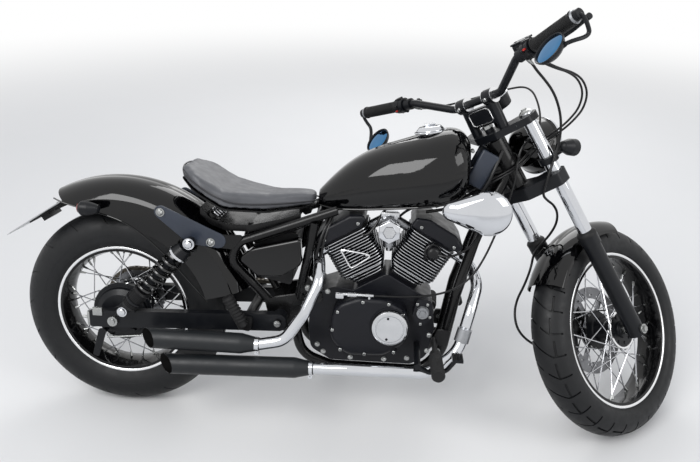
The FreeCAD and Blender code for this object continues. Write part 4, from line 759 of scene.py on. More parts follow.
HOSE_RADIUS = 3.6
CABLE_RADIUS = 3.0
CABLE_STEP = 6.0
CABLE_RISE = 2.6


def control_cable(name, on_fork, at_head, on_frame, replaced=()):
    """A cable from the bar to the engine: a curve made a mesh."""
    points = [STEER @ fork_point(*point) for point in on_fork]
    points += [REST @ fork_point(*point) for point in at_head]
    points += [REST @ Vector(point) for point in on_frame]
    mesh = as_mesh(strand(name, points, CABLE_RADIUS / 1000, detail=8))
    mesh.materials.clear()
    mesh.materials.append(SURFACES["cable_sheath"])
    obj = placed(name, mesh)
    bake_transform(obj)
    if replaced:
        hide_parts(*replaced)
    made.append(obj)
    print(name, "bends between the steering and the frame")


hose = strand("brake_hose_run", [STEER @ fork_point(*point) for point in HOSE], HOSE_RADIUS / 1000, detail=8)
hose.data.materials.append(SURFACES["cable_sheath"])
close(hose, "steering", ("brake_hose",))
for way, label in ((-1, "lower"), (1, "upper")):
    turned = [(up + way * (CABLE_RISE if i else 0), out, side + way * CABLE_STEP)
              for i, (up, out, side) in enumerate(THROTTLE)]
    head = [(up + way * CABLE_RISE, out, side + way * 3) for up, out, side in THROTTLE_AT_HEAD]
    below = [(x, side + way * 4, z) for x, side, z in THROTTLE_ON_FRAME]
    control_cable("throttle_cable_" + label, turned, head, below, ("control_cables",) if way < 0 else ())
control_cable("clutch_cable", CLUTCH, CLUTCH_AT_HEAD, CLUTCH_ON_FRAME)

# %% [markdown]
# Each cable leaves its lever through a plated ferrule, and the clutch cable ends in a threaded adjuster
# on top of the clutch cover.

# %% Ferrules and the adjuster
cable_ends = bmesh.new()
for end, before, wide, neck in ((HOSE[0], HOSE[1], 5, 5.2), (THROTTLE[0], THROTTLE[1], 8.5, 7.5),
                                (CLUTCH[0], CLUTCH[1], 5, 5.2)):
    tip = fork_point(*end)
    way = (fork_point(*before) - tip).normalized()
    drum(cable_ends, tip - way * 4, tip + way * 16, wide, neck, 16)
    drum(cable_ends, tip + way * 16, tip + way * 26, 4.6, 3.6, 12)
hose_tip = fork_point(*HOSE[-1])
hose_way = (fork_point(*HOSE[-2]) - hose_tip).normalized()
drum(cable_ends, hose_tip, hose_tip + hose_way * 20, 6, 4.6, 12)
piece("cable_ends", cable_ends, "steering", "zinc_steel", sharp=35)

ADJUSTER_SIDE, ADJUSTER_HEIGHT = -131, 437
adjuster = bmesh.new()
for start, end, wide, tip, segments in ((676, 742, 4.2, 4.2, 14), (690, 716, 6.4, 6.4, 8), (742, 764, 5.6, 4, 12)):
    drum(adjuster, (start, ADJUSTER_SIDE, ADJUSTER_HEIGHT), (end, ADJUSTER_SIDE, ADJUSTER_HEIGHT), wide, tip,
         segments)
block(adjuster, moved(668, -130, 432), (24, 12, 16), 3)
block(adjuster, moved(752, -126, 430), (7, 16, 18), 2)
piece("clutch_adjuster", adjuster, "frame", "zinc_steel", bright_alloy, sharp=35)

# %% [markdown]
# The engine's looks are its fins: black plates whose edges were machined bright after painting. Each
# bright edge is a thinner plate inside the solid's fin that stands a third of a millimetre proud, so
# that only its rim shows. The heads carry four more fins each, which hide the plain block there.

# %% Fins
CRANK = Vector((798, 0, 370))
VEE_HALF_ANGLE = math.radians(30)
FIRST_FIN = 111
CYLINDER_FINS = 13
FIN_PITCH = 111 / CYLINDER_FINS
FIN_THICK = 3.2
FIN_CORNER = 26
EDGE_THICK = 1.7
EDGE_PROUD = 0.35


def cylinder_place(way):
    """A place whose Z runs up a cylinder from the crank and whose X runs across it, ahead."""
    angle = VEE_HALF_ANGLE * way
    return aim(CRANK, (math.sin(angle), 0, math.cos(angle)), (math.cos(angle), 0, -math.sin(angle)))


fin_edges, head_fins = bmesh.new(), bmesh.new()
for way in (-1, 1):
    for i in range(CYLINDER_FINS + 4):
        place = cylinder_place(way) @ moved(0, 0, FIRST_FIN + FIN_PITCH * i + FIN_THICK / 2)
        reach, half = min(52 + 5.0 * i, 72), 74 if i > 2 else 56
        if i >= CYLINDER_FINS:
            half = 76
            plate(head_fins, place, (2 * reach, 2 * half, FIN_THICK), FIN_CORNER, 6)
        plate(fin_edges, place, (2 * (reach + EDGE_PROUD), 2 * (half + EDGE_PROUD), EDGE_THICK),
              FIN_CORNER + EDGE_PROUD, 6)
piece("fin_edges", fin_edges, "frame", "cast_alloy", bright_alloy)
piece("head_fins", head_fins, "frame", "engine_black")

# %% [markdown]
# In front of the engine hangs a chrome cover like half an egg, and between the cylinders a six-sided
# one. The egg's outline is the hull of a small and a large circle. It is pushed out ring by ring, each
# ring smaller by the cosine of an angle and higher by its sine, which makes a dome of that outline.

# %% Chrome covers
EGG_CIRCLES = (((966, -134, 694), 26.2), ((1066, -134, 692), 62.2))
EGG_MIDDLE = Vector((1034, -134, 693))
EGG_RINGS = 10
EGG_LIFT = 28
egg = bmesh.new()
for centre, radius in EGG_CIRCLES:
    bmesh.ops.create_circle(egg, cap_ends=False, segments=64, radius=radius, matrix=aim(centre, SIDE))
hull = bmesh.ops.convex_hull(egg, input=egg.verts, use_existing_faces=False)
bmesh.ops.delete(egg, geom=only(hull["geom_interior"], bmesh.types.BMVert), context="VERTS")
bmesh.ops.dissolve_limit(egg, angle_limit=0.01, verts=egg.verts, edges=egg.edges)
lid = egg.faces[:]
angles = [math.pi / 2 * i / (EGG_RINGS + 0.4) for i in range(EGG_RINGS + 1)]
for before, angle in zip(angles, angles[1:]):
    grown = bmesh.ops.extrude_face_region(egg, geom=lid)["geom"]
    for face in lid:
        if face.is_valid:
            egg.faces.remove(face)
    lid, top = only(grown, bmesh.types.BMFace), only(grown, bmesh.types.BMVert)
    ratio = math.cos(angle) / math.cos(before)
    bmesh.ops.scale(egg, vec=(ratio, 1, ratio), space=Matrix.Translation(-EGG_MIDDLE), verts=top)
    bmesh.ops.translate(egg, vec=RIGHT * (math.sin(angle) - math.sin(before)) * EGG_LIFT, verts=top)
drum(egg, (1050, -134, 714), (1050, -8.3, 714), 8, segments=20)
hexagon = bmesh.ops.create_cone(egg, cap_ends=True, segments=6, radius1=34, radius2=34, depth=26,
                                matrix=aim((800, -89.3, 616), RIGHT))
soften(egg, edges_of(hexagon), 2.6, 3)
piece("chrome_caps", egg, "frame", "chrome", replaced=("chrome_covers",), sharp=40)

# %% [markdown]
# The clutch cover carries a bare alloy disc, which is one spun line with a groove. Its two notches are not cut:
# small dark drums stand on its face as their painted shade. Bosses for the cover's screws stand round it.

# %% Clutch disc and bosses
DISC_FACE = Vector((814, -140, 350))
COVER_SCREWS = ((664, -129, 386), (735, -127, 419), (808, -127, 417), (850, -128, 388), (856, -128, 318),
                (828, -128, 271), (744, -128, 260), (674, -128, 270), (650, -128, 330))
BOSS_HEIGHT = 9
alloy_disc, notch_shade, trim = bmesh.new(), bmesh.new(), bmesh.new()
spun(alloy_disc, [(0, 18.6), (37.5, 18.6), (38.2, 17.2), (40.4, 17.2), (41.2, 18.6), (46.5, 18.4), (50.4, 16.6),
     (51.6, 13.5), (51.6, 0.2), (0, 0.2)], DISC_FACE, RIGHT, 96)
# The notches' painted shade: two small dark drums on the disc's face.
for x, z in ((-6, 31), (-8, -32)):
    spot = DISC_FACE + Vector((x, -18.2, z))
    drum(notch_shade, spot, spot + RIGHT * 1.4, 3.6, segments=16)
hoop(trim, [(53, -1.5), (56.5, -1.5), (57.2, 1.8), (55.5, 4.6), (53.2, 4.6)], DISC_FACE, RIGHT, 96)
for spot in COVER_SCREWS:
    drum(trim, spot, Vector(spot) + RIGHT * BOSS_HEIGHT, 10, 8.5, 20)
piece("clutch_disc", alloy_disc, "frame", "cast_alloy", bright_alloy, sharp=25)
piece("clutch_disc_notch_shade", notch_shade, "frame", "satin_black")
piece("clutch_cover_bosses", trim, "frame", "engine_black")

# %% [markdown]
# Screws hold the covers on both sides, hexagon bolts the crankcase's halves, and a screw at each end of
# a rocker cover.

# %% Engine bolts
engine_bolts = bmesh.new()
for spot in COVER_SCREWS:
    socket_bolt(engine_bolts, Vector(spot) + RIGHT * BOSS_HEIGHT, RIGHT, 6)
for x, z in ((889, 412), (918, 412), (926, 374), (900, 352)):
    socket_bolt(engine_bolts, (x, -112, z), RIGHT, 5)
for x, z in ((600, 250), (600, 396), (628, 420), (618, 228), (700, 214), (800, 214), (868, 222), (930, 300),
             (926, 250)):
    bolt(engine_bolts, (x, -72, z), RIGHT, 7)
for x, z in ((738, 300), (738, 425), (866, 425), (874, 305), (800, 432), (800, 298)):
    socket_bolt(engine_bolts, (x, 136, z), SIDE, 6)
for x, z in ((604, 306), (604, 380), (686, 386), (686, 296)):
    socket_bolt(engine_bolts, (x, 128, z), SIDE, 6)
for way in (-1, 1):
    for side in (-1, 1):
        for across in (-52, 56):
            socket_bolt(engine_bolts, cylinder_place(way) @ Vector((across, side * 84, 272)), SIDE * side, 6)
piece("engine_bolts", engine_bolts, "frame", "zinc_steel", sharp=30)

# %% [markdown]
# Ahead of the clutch cover sits the pump's small round cover. A bright wire loop guards the rear plug,
# the front one shows its black cap, and both leads run up under the tank. The carburettor between the
# cylinders has its own small fittings.

# %% Pump, plugs and carburettor
PUMP = Vector((905, -118, 386))
pump, guard, plug, intake = bmesh.new(), bmesh.new(), bmesh.new(), bmesh.new()
drum(pump, (905, -112, 386), PUMP, 20, 17, 28)
drum(pump, PUMP, (905, -121, 386), 9, 8, 20)
for angle in (90, 210, 330):
    spot = PUMP + Matrix.Rotation(math.radians(angle), 3, "Y") @ Vector((13, 0, 0))
    drum(pump, spot, spot + RIGHT * 3, 3.2, segments=12)
wire(guard, [(667, -89, 556), (705, -92, 551), (744, -92, 547), (748, -92, 538), (722, -91, 520),
             (700, -90, 503), (692, -90, 503), (678, -89, 530), (664, -89, 552)], 2.6, closed=True)
drum(guard, (672, -74, 553), (672, -90, 553), 4, segments=12)
drum(guard, (738, -74, 545), (738, -91, 545), 4, segments=12)
spun(plug, [(0, 22), (9, 22), (16, 19), (20, 12), (21, 2), (24, 0), (24, -6), (15, -12), (0, -12)],
     (924, -92, 561), (0.12, -1, 0.1), 32, (1, 0, 0))
drum(plug, (905, -80, 540), (922, -92, 556), 9, 11, 16)
wire(plug, [(938, -108, 560), (956, -116, 558), (985, -112, 562), (1010, -104, 574), (1034, -92, 592),
            (1052, -70, 622), (1060, -52, 660), (1056, -40, 700)], 3.6)
wire(plug, [(700, -60, 606), (716, -70, 596), (740, -78, 600), (762, -70, 628), (776, -52, 660),
            (800, -40, 684)], 3.6)
spun(intake, [(0, 3), (17, 3), (20, 0), (20.5, -3)], (800, -102.6, 616), RIGHT, 6)
for x in (784, 816):
    drum(intake, (x, -44, 648), (x, -62, 648), 5, segments=12)
block(intake, moved(800, -54, 656), (52, 14, 14), 2.5)
for x, z in ((778, 632), (822, 632), (778, 596), (822, 596)):
    bolt(intake, (x, -45, z), RIGHT, 5)
drum(intake, (800, -24, 540), (800, -24, 556), 9, 12, 20)
piece("pump_cover", pump, "frame", "cast_alloy", sharp=35)
piece("plug_guard", guard, "frame", "chrome", polished_edge)
piece("plug_caps_and_leads", plug, "frame", "cable_sheath", sharp=40)
piece("carburettor_fittings", intake, "frame", "cast_alloy", bright_alloy, sharp=35)

# %% [markdown]
# A can is a cone and a tube, cut slantwise at its tail so that its opening looks back and outwards. The
# line is spun open, cut by a plane, given its wall, and the inner wall is painted near black as painted shade inside
# the can.

# %% Cans
CAN_WALL = 2.2
CAN_RADIUS = 29
SLANT_START = 30
SLANT = 0.9
cans = bmesh.new()
for front, back in (((604.7, -200, 235.9), (150, -200, 222)), ((449.7, -192, 295.8), (98, -192, 296))):
    front, back = Vector(front), Vector(back)
    way, length = (back - front).normalized(), (back - front).length
    tube = bmesh.new()
    spun(tube, [(18, 0), (18.6, 4), (27, 44), (28.6, 50), (CAN_RADIUS, 56), (CAN_RADIUS, 120),
                (CAN_RADIUS, length - 120), (CAN_RADIUS, length)], front, way, 64)
    bmesh.ops.bisect_plane(tube, geom=tube.verts[:] + tube.edges[:] + tube.faces[:], dist=0.001,
                           plane_co=back - way * SLANT_START, plane_no=(way + RIGHT * SLANT).normalized(),
                           clear_outer=True)
    bmesh.ops.recalc_face_normals(tube, faces=tube.faces)
    bmesh.ops.solidify(tube, geom=tube.faces, thickness=CAN_WALL)
    # Faces that look inwards take the second finish, the painted shade inside the can.
    for face in tube.faces:
        middle = face.calc_center_median() - front
        away = middle - way * middle.dot(way)
        face.material_index = 1 if face.normal.dot(away) < 0 else 0
    join(cans, tube)
piece("muffler_cans", cans, "frame", "exhaust_black", (SURFACES["exhaust_black"], can_inside_painted_shade),
      replaced=("mufflers",), sharp=40, flip=False)

# %% [markdown]
# The headers are held to the cans by clamps: a band with two lugs and a bolt, the same at each joint.
# At each port a flange with two bolts holds the pipe, and the front header has a sleeve at its bend.

# %% Clamps, flanges and the header's sleeve
clamp, heat_clamp = bmesh.new(), bmesh.new()
for middle, radius in (((596, -200, 235.7), 18.6), ((442, -192, 295.8), 18.8)):
    place = aim(middle, (1, 0, 0), (0, 0, 1))
    hoop(clamp, [(radius, -7), (radius + 1.6, -6.4), (radius + 1.6, 6.4), (radius, 7), (radius - 1, 0)], middle,
         (1, 0, 0), 40, (0, 0, 1))
    for turn_by in (-0.18, 0.18):
        block(clamp, place @ Matrix.Rotation(math.pi + turn_by, 4, "Z") @ moved(radius + 6, 0, 0), (14, 2, 12), 0.6)
    ear = place @ Matrix.Rotation(math.pi, 4, "Z")
    drum(clamp, ear @ Vector((radius + 7, -9, 0)), ear @ Vector((radius + 7, 9, 0)), 3, segments=10)
for way, side in ((1, 0), (-1, -34)):
    place = cylinder_place(way)
    port = place @ Vector((way * 58, side, 238))
    out = place.col[0].xyz * way
    hoop(clamp, [(17.4, 0), (27, 0), (27, 7), (19, 10), (17.4, 10)], port, out, 36)
    for ear in (-24, 24):
        bolt(clamp, port + SIDE * ear + out * 7, out, 6)
drum(heat_clamp, (1014, -168, 330), (1023, -162, 366), 21, 20.5, 28)
piece("exhaust_clamps", clamp, "frame", "chrome", sharp=35)
piece("header_sleeve", heat_clamp, "frame", "cast_alloy")

# %% [markdown]
# The seat is a thin leather pad on a steel pan. Its solid is only a flat slab of the right outline, so a
# copy of it is remeshed in small even faces, its lower side is pinned, and a few frames of cloth with
# air pressure let the leather swell and round itself as filling does. A cap keeps any point from moving
# further than leather would. The swollen mesh is then smoothed.

# %% Seat pad
PAD_EDGE = 0.009
PAD_VOXEL = 0.005
PAD_PRESSURE = 4.0
PAD_MOST_MOVE = 0.006
PAD_FRAMES = 20
PAD_SMOOTHINGS = 6

pad_shape = solid_copy("seat_cushion")
soften(pad_shape, creases(pad_shape, EDGE_ANGLE), PAD_EDGE, 4)
pad_mesh = bpy.data.meshes.new("seat_pad_start")
pad_shape.to_mesh(pad_mesh)
pad_shape.free()
pad_start = placed("seat_pad_start", pad_mesh)
modify(pad_start, "REMESH", mode="VOXEL", voxel_size=PAD_VOXEL)


def applied(obj):
    """The mesh of an object as its modifiers leave it."""
    bpy.context.view_layer.update()
    return bpy.data.meshes.new_from_object(obj.evaluated_get(bpy.context.evaluated_depsgraph_get()))


even = applied(pad_start)
pad_start.modifiers.clear()
pad_start.data = even
under = pad_start.vertex_groups.new(name="under")
down = (REST.to_3x3() @ Vector((0.1, 0, -1))).normalized()
under.add([vert.index for vert in even.vertices if vert.normal.dot(down) > 0.8], 1.0, "REPLACE")
cloth = modify(pad_start, "CLOTH")
cloth.settings.quality = 6
cloth.settings.mass = 0.3
cloth.settings.tension_stiffness = 12
cloth.settings.bending_stiffness = 2.0
cloth.settings.use_pressure = True
cloth.settings.uniform_pressure_force = PAD_PRESSURE
cloth.settings.vertex_group_mass = "under"
cloth.settings.effector_weights.gravity = 0
cloth.point_cache.frame_end = PAD_FRAMES
for step in range(1, PAD_FRAMES + 1):
    scene.frame_set(step)
swollen = applied(pad_start)
scene.frame_set(1)
pad = bmesh.new()
pad.from_mesh(swollen)
farthest = 0
for vert, start in zip(pad.verts, even.vertices):
    way = vert.co - start.co
    farthest = max(farthest, way.length)
    if way.length > PAD_MOST_MOVE:
        vert.co = start.co + way * (PAD_MOST_MOVE / way.length)
for _ in range(PAD_SMOOTHINGS):
    bmesh.ops.smooth_vert(pad, verts=pad.verts, factor=0.5, use_axis_x=True, use_axis_y=True, use_axis_z=True)
bpy.data.objects.remove(pad_start)
print("pad swelled by at most", round(farthest * 1000, 1), "mm")
seat_pad = piece("seat_pad", pad, "frame", "seat_leather", place=Matrix.Identity(4), replaced=("seat_cushion",),
                 sharp=180, flip=False)
modify(seat_pad, "SUBSURF", levels=1, render_levels=1)

# %% [markdown]
# The piping runs round the seat's plan at the height where its top turns down. Its points are listed
# on the right half, from the back to the nose, and mirrored for the left.

# %% Seat piping
PIPING = ((199, 0, 768), (202, -40, 766), (214, -82, 757), (240, -108, 742), (280, -118, 717), (330, -119, 691),
          (372, -108, 679), (420, -85, 674), (478, -62, 673), (535, -46, 676), (578, -32, 680), (592, -12, 682))
piping = bmesh.new()
wire(piping, [*PIPING, *((x, -side, z) for x, side, z in reversed(PIPING) if side)], 2.4, closed=True, detail=5)
piece("seat_piping", piping, "frame", "seat_leather", seam_leather)

# %% [markdown]
# A coil spring is a small circle carried round an axis while it climbs, which the spin operator does
# when it is given a step along the axis. The same function winds the shocks' springs and the seat's.

# %% Springs


def coil(shape, start, end, coil_radius, wire_radius, turns, per_turn=24, sides=8):
    """A helical spring between two points, its ends closed."""
    start, end = Vector(start), Vector(end)
    place = aim(start, end - start)
    ring = bmesh.ops.create_circle(shape, cap_ends=False, segments=sides, radius=wire_radius,
                                   matrix=place @ moved(coil_radius, 0, 0)
                                   @ Matrix.Rotation(math.radians(90), 4, "X"))
    steps = int(per_turn * turns)
    bmesh.ops.spin(shape, geom=ring["verts"] + list(edges_of(ring)), cent=start, axis=place.col[2].xyz,
                   dvec=(end - start) / steps, angle=2 * math.pi * turns, steps=steps, use_merge=False,
                   use_duplicate=False)
    bmesh.ops.holes_fill(shape, edges=[edge for edge in shape.edges if edge.is_boundary], sides=sides)


SHOCK_LOW = Vector((42, 145, 355))
SHOCK_TOP = Vector((245, 145, 571))
COVER_RIBS = 12
RIB_PITCH = 4.6
shock_way = (SHOCK_TOP - SHOCK_LOW).normalized()
shock_length = (SHOCK_TOP - SHOCK_LOW).length
coils, covers, caps, seat_coils = bmesh.new(), bmesh.new(), bmesh.new(), bmesh.new()
ribs = [(10, 18), (20, 20), (22, 26)]
for i in range(COVER_RIBS):
    at = 28 + RIB_PITCH * i
    ribs += [(22.6, at), (24.4, at + 1.2), (24.4, at + 3), (22.6, at + 4)]
ribs += [(26.5, 84), (27.5, 88), (24, 91), (10, 91)]
crown = [(radius, shock_length - below) for radius, below in (
    (8, 53), (30, 53), (31, 51), (30.5, 47.5), (28.6, 46), (8, 45))]
for side in (-1, 1):
    low = Vector((SHOCK_LOW.x, SHOCK_LOW.y * side, SHOCK_LOW.z))
    coil(coils, low + shock_way * 94, low + shock_way * (shock_length - 57), 24, 4.8, 6.5)
    coil(seat_coils, (299, side * 58, 637), (319, side * 58, 655), 15, 3, 3.5)
    spun(covers, ribs, low, shock_way, 40)
    spun(caps, crown, low, shock_way)
    spun(caps, [(0, 172), (6, 171), (10.5, 167.5), (12.6, 162), (12.6, 159.5), (16.5, 159.4), (16.5, 157.2),
                (0, 157.2)], (SHOCK_TOP.x, 0, SHOCK_TOP.z), SIDE * side, 32)
    spun(caps, [(0, 168), (6.5, 167.5), (10.5, 165), (11.8, 160), (14.5, 159.8), (14.5, 157.4), (0, 157.4)],
         (SHOCK_LOW.x, 0, SHOCK_LOW.z), SIDE * side, 32)
piece("shock_coils", coils, "frame", "satin_black", spring_black, replaced=("shock_springs",))
piece("shock_dust_covers", covers, "frame", "satin_black", SURFACES["plastic_black"], sharp=30)
piece("shock_caps", caps, "frame", "chrome", sharp=30)
piece("seat_coils", seat_coils, "frame", "spoke_steel", replaced=("seat_springs",))

# %% [markdown]
# The tank is two pressings welded along a lip, and the lip is what draws the thin bright line under it.
# The lip is a NURBS wire that follows the lower edges and sits half in the tank. The filler cap gets a
# low chrome ring and a flap over its lock, and a bracket stands behind the steering head.

# %% Tank lip, cap and trim
CAP_UP = Vector((-0.16, 0, 1)).normalized()
CAP_SEAT = Vector((902, 0, 884)) + CAP_UP * 8
LIP = ((594, 22, 667), (625, 42, 664), (662, 57, 665), (720, 73, 671), (780, 86, 679), (840, 93, 686),
       (900, 98, 693), (945, 94, 700), (974, 86, 708), (996, 74, 722), (1011, 62, 738))
lip, cap, bracket, tank_bolts = bmesh.new(), bmesh.new(), bmesh.new(), bmesh.new()
for side in (-1, 1):
    wire(lip, [(x, side * y, z) for x, y, z in LIP], 3.2)
    bolt(tank_bolts, (603, side * 92, 649), SIDE * side, 7)
    bolt(tank_bolts, (1022, side * 8.2, 838), SIDE * side, 5)
hoop(cap, [(39, -6), (45, -6), (46.5, -3.5), (45, -1), (40.5, 0)], CAP_SEAT, CAP_UP, 64)
block(cap, aim(CAP_SEAT + CAP_UP * 16, CAP_UP, (1, 0, 0)) @ moved(0, 0, 0.8), (30, 15, 5), 2.2, 3)
block(bracket, moved(1000, 0, 856) @ Matrix.Rotation(math.radians(62), 4, "Y"), (40, 44, 10), 4, 3)
piece("tank_lip", lip, "frame", "gloss_black")
piece("filler_ring", cap, "frame", "chrome", sharp=40)
piece("tank_front_bracket", bracket, "frame", "satin_black")
piece("tank_bolts", tank_bolts, "frame", "zinc_steel", sharp=32)

# %% [markdown]
# Beside the steering head hangs a smooth sheet that hides the wiring. It is a shallow pressed panel, so
# a bevelled block is enough. The looms that pass it run back along the frame's tubes.

# %% Head panels and looms
PANEL_LEAN = math.radians(31.5 - 6)
panel, looms = bmesh.new(), bmesh.new()
for side in (-1, 1):
    place = moved(1048, side * 44, 794) @ Matrix.Rotation(PANEL_LEAN, 4, "Y")
    block(panel, place @ Matrix.Rotation(math.radians(4 * side), 4, "Z"), (52, 12, 104), 6, 4)
for radius, run in (
        (5, ((1100, -34, 846), (1082, -56, 806), (1066, -60, 762), (1040, -52, 716), (1004, -44, 690),
             (960, -40, 676), (900, -36, 664))),
        (5.5, ((1112, 30, 840), (1090, 54, 790), (1064, 56, 730), (1030, 48, 700), (980, 44, 680), (930, 40, 662))),
        (5, ((596, -70, 640), (560, -78, 616), (500, -86, 596), (450, -84, 575), (420, -70, 560))),
        (4.5, ((630, -66, 640), (610, -92, 600), (596, -96, 540), (588, -92, 480), (590, -84, 420))),
        (3.6, ((640, -62, 648), (624, -84, 610), (612, -94, 560), (606, -96, 500), (620, -90, 450)))):
    wire(looms, run, radius)
piece("head_panels", panel, "frame", "satin_black", blue_grey_paint)
piece("wiring_looms", looms, "frame", "cable_sheath")

# %% [markdown]
# The rear fender is a deep pressing with a rolled edge, which follows the skirt's cut line. Its struts
# are the hull of three round plates, softened at the rim.

# %% Fender struts and rolled edge
STRUT_DISCS = ((156, 648, 19), (244, 584, 27), (318, 572, 22))
HEM = ((277, 95, 374), (214, 95, 447), (150, 95, 520), (88, 95, 576), (27, 95, 614), (-56, 95, 636),
       (-139, 95, 654), (-164, 94, 668))
struts, hem = bmesh.new(), bmesh.new()
for side in (-1, 1):
    one = bmesh.new()
    for x, z, radius in STRUT_DISCS:
        drum(one, (x, side * 113, z), (x, side * 119, z), radius, segments=32)
    hull = bmesh.ops.convex_hull(one, input=one.verts, use_existing_faces=False)
    spare = only(hull["geom_interior"] + hull["geom_unused"], bmesh.types.BMVert)
    bmesh.ops.delete(one, geom=spare, context="VERTS")
    bmesh.ops.dissolve_limit(one, angle_limit=0.02, verts=one.verts, edges=one.edges)
    soften(one, creases(one, 1.2), 2, 3)
    join(struts, one)
    wire(hem, [(x, side * y, z) for x, y, z in HEM], 2.2)
piece("fender_struts", struts, "frame", "frame_black", blue_grey_paint, sharp=35)
piece("fender_hem", hem, "frame", "gloss_black")

# %% [markdown]
# Domed nuts hold the struts and hexagon bolts the frame. At the rear axle each arm carries its chain
# adjuster, a block with a threaded rod, and on the right a rod holds the brake plate.

# %% Frame bolts
DOMED_NUT = [(0, 10), (5, 9.4), (8.6, 6.5), (9.6, 2.4), (12.5, 2.2), (12.5, 0), (0, 0)]
frame_bolts = bmesh.new()
for side in (-1, 1):
    way = SIDE * side
    for x, z in ((155, 648), (297, 567)):
        spun(frame_bolts, DOMED_NUT, (x, side * 119, z), way, 28)
    for x, z, lift, size in ((489, 334, 131, 9), (590, 444, 80, 9), (572, 430, 80, 9), (968, 300, 76, 9),
                             (955, 252, 76, 9), (394, 334, 134, 8)):
        bolt(frame_bolts, (x, side * lift, z), way, size)
    drum(frame_bolts, (0, side * 133, AXLE_HEIGHT), (0, side * 138, AXLE_HEIGHT), 9, 8, 20)
    block(frame_bolts, moved(-46, side * 124, 338), (30, 8, 26), 3)
    block(frame_bolts, moved(-76, side * 110, 313), (8, 26, 44), 2.5)
    drum(frame_bolts, (-66, side * 110, 313), (-98, side * 110, 313), 4, segments=12)
    drum(frame_bolts, (-84, side * 110, 313), (-78, side * 110, 313), 7.5, segments=6)
drum(frame_bolts, (-20, -126, 258), (300, -140, 300), 3, segments=12)
drum(frame_bolts, (-8, -110, 262), (-8, -128, 262), 6, segments=14)
piece("frame_bolts", frame_bolts, "frame", "zinc_steel", sharp=32)

# %% [markdown]
# The chain is made of links, because from the left its side plates and rollers are what one sees. Each
# link is two rounded plates on two pins, and the links follow the loop round both sprockets: two
# straight runs and two arcs.

# %% Chain
CHAIN_SIDE = 84
BIG, SMALL = Vector((0, CHAIN_SIDE, AXLE_HEIGHT)), Vector((632, CHAIN_SIDE, 338))
BIG_RADIUS, SMALL_RADIUS = 92, 33
LINKS = 116
TEETH = 15

chain_way = (SMALL - BIG).normalized()
lean = math.asin((BIG_RADIUS - SMALL_RADIUS) / (SMALL - BIG).length)
cross = Vector((-chain_way.z, 0, chain_way.x)) * math.cos(lean)
above, below = chain_way * math.sin(lean) + cross, chain_way * math.sin(lean) - cross
straight = (SMALL - BIG).length * math.cos(lean)
small_arc, big_arc = (math.pi - 2 * lean) * SMALL_RADIUS, (math.pi + 2 * lean) * BIG_RADIUS
chain_length = 2 * straight + small_arc + big_arc


def on_chain(distance):
    """The point at a distance along the loop, from where the chain leaves the big sprocket's top."""
    distance %= chain_length
    if distance < straight:
        return (BIG + above * BIG_RADIUS).lerp(SMALL + above * SMALL_RADIUS, distance / straight)
    distance -= straight
    if distance < small_arc:
        return SMALL + Matrix.Rotation(distance / SMALL_RADIUS, 3, "Y") @ (above * SMALL_RADIUS)
    distance -= small_arc
    if distance < straight:
        return (SMALL + below * SMALL_RADIUS).lerp(BIG + below * BIG_RADIUS, distance / straight)
    return BIG + Matrix.Rotation((distance - straight) / BIG_RADIUS, 3, "Y") @ (below * BIG_RADIUS)


links = bmesh.new()
for i in range(LINKS):
    a, b = on_chain(chain_length * i / LINKS), on_chain(chain_length * (i + 1) / LINKS)
    place = aim((a + b) / 2, SIDE, b - a)
    apart = 6.2 if i % 2 else 4.4
    for side in (-1, 1):
        plate(links, place @ moved(0, 0, side * apart), ((b - a).length + 9.5, 11, 1.5), 4)
    drum(links, a - SIDE * 3.6, a + SIDE * 3.6, 5.2, segments=10)
    drum(links, a - SIDE * 8, a + SIDE * 8, 2.4, segments=8)
sprocket = bmesh.new()
drum(sprocket, (632, 72, 338), (632, 97, 338), 11)
teeth = [Vector((632, 80.6, 338)) + Matrix.Rotation(math.pi * i / TEETH, 3, "Y") @ Vector((30 if i % 2 else 25, 0, 0))
         for i in range(2 * TEETH)]
ring = sprocket.faces.new([sprocket.verts.new(tooth) for tooth in teeth])
lifted = bmesh.ops.extrude_face_region(sprocket, geom=[ring])
bmesh.ops.translate(sprocket, vec=SIDE * 7, verts=only(lifted["geom"], bmesh.types.BMVert))
join(links, sprocket)
piece("chain_links", links, "frame", "chain_steel", replaced=("drive_chain",), sharp=35)
print("chain", round(chain_length), "mm round")

# %% [markdown]
# The grips are ribbed rubber with a bare metal end cap, and the ribs are simply part of the spun line.
# The bar's own direction at the grip comes from its last bend and its end.

# %% Grips
BAR_BEND = (877.5, -12.4, 200)
GRIP_START = (886, -13.5, 261)
BAR_END = (911, -22, 395)
GRIP_LENGTH = (fork_point(*BAR_END) - fork_point(*GRIP_START)).length
GRIP_PITCH = 5.2


def bar_line(side, distance):
    """A point on a grip's centre line and its outward direction, measured from the grip's start."""
    bend = fork_point(BAR_BEND[0], BAR_BEND[1], BAR_BEND[2] * side)
    end = fork_point(BAR_END[0], BAR_END[1], BAR_END[2] * side)
    way = (end - bend).normalized()
    return end + way * (distance - GRIP_LENGTH), way


rubber, end_caps = bmesh.new(), bmesh.new()
line = [(11.4, 4), (18, 4), (19.4, 6), (19.4, 10), (16, 11.5)]
for i in range(int((GRIP_LENGTH - 18) / GRIP_PITCH)):
    at = 12 + GRIP_PITCH * i
    line += [(15.6, at), (16.9, at + 0.9), (16.9, at + 3.2), (15.6, at + 4.1)]
line += [(16, GRIP_LENGTH - 4), (18.4, GRIP_LENGTH - 2), (18.4, GRIP_LENGTH + 1), (11.4, GRIP_LENGTH + 1)]
end_cap = [(radius, GRIP_LENGTH + beyond) for radius, beyond in (
    (0, 1), (16.5, 1), (17.5, 4), (15.5, 9), (6, 9.6), (0, 9.6))]
for side in (-1, 1):
    start, way = bar_line(side, 0)
    hoop(rubber, line, start, way, 36)
    spun(end_caps, end_cap, start, way, 32)
piece("ribbed_grips", rubber, "steering", "grip_rubber", replaced=("grips",), sharp=28)
piece("bar_end_caps", end_caps, "steering", "cast_alloy", sharp=30)

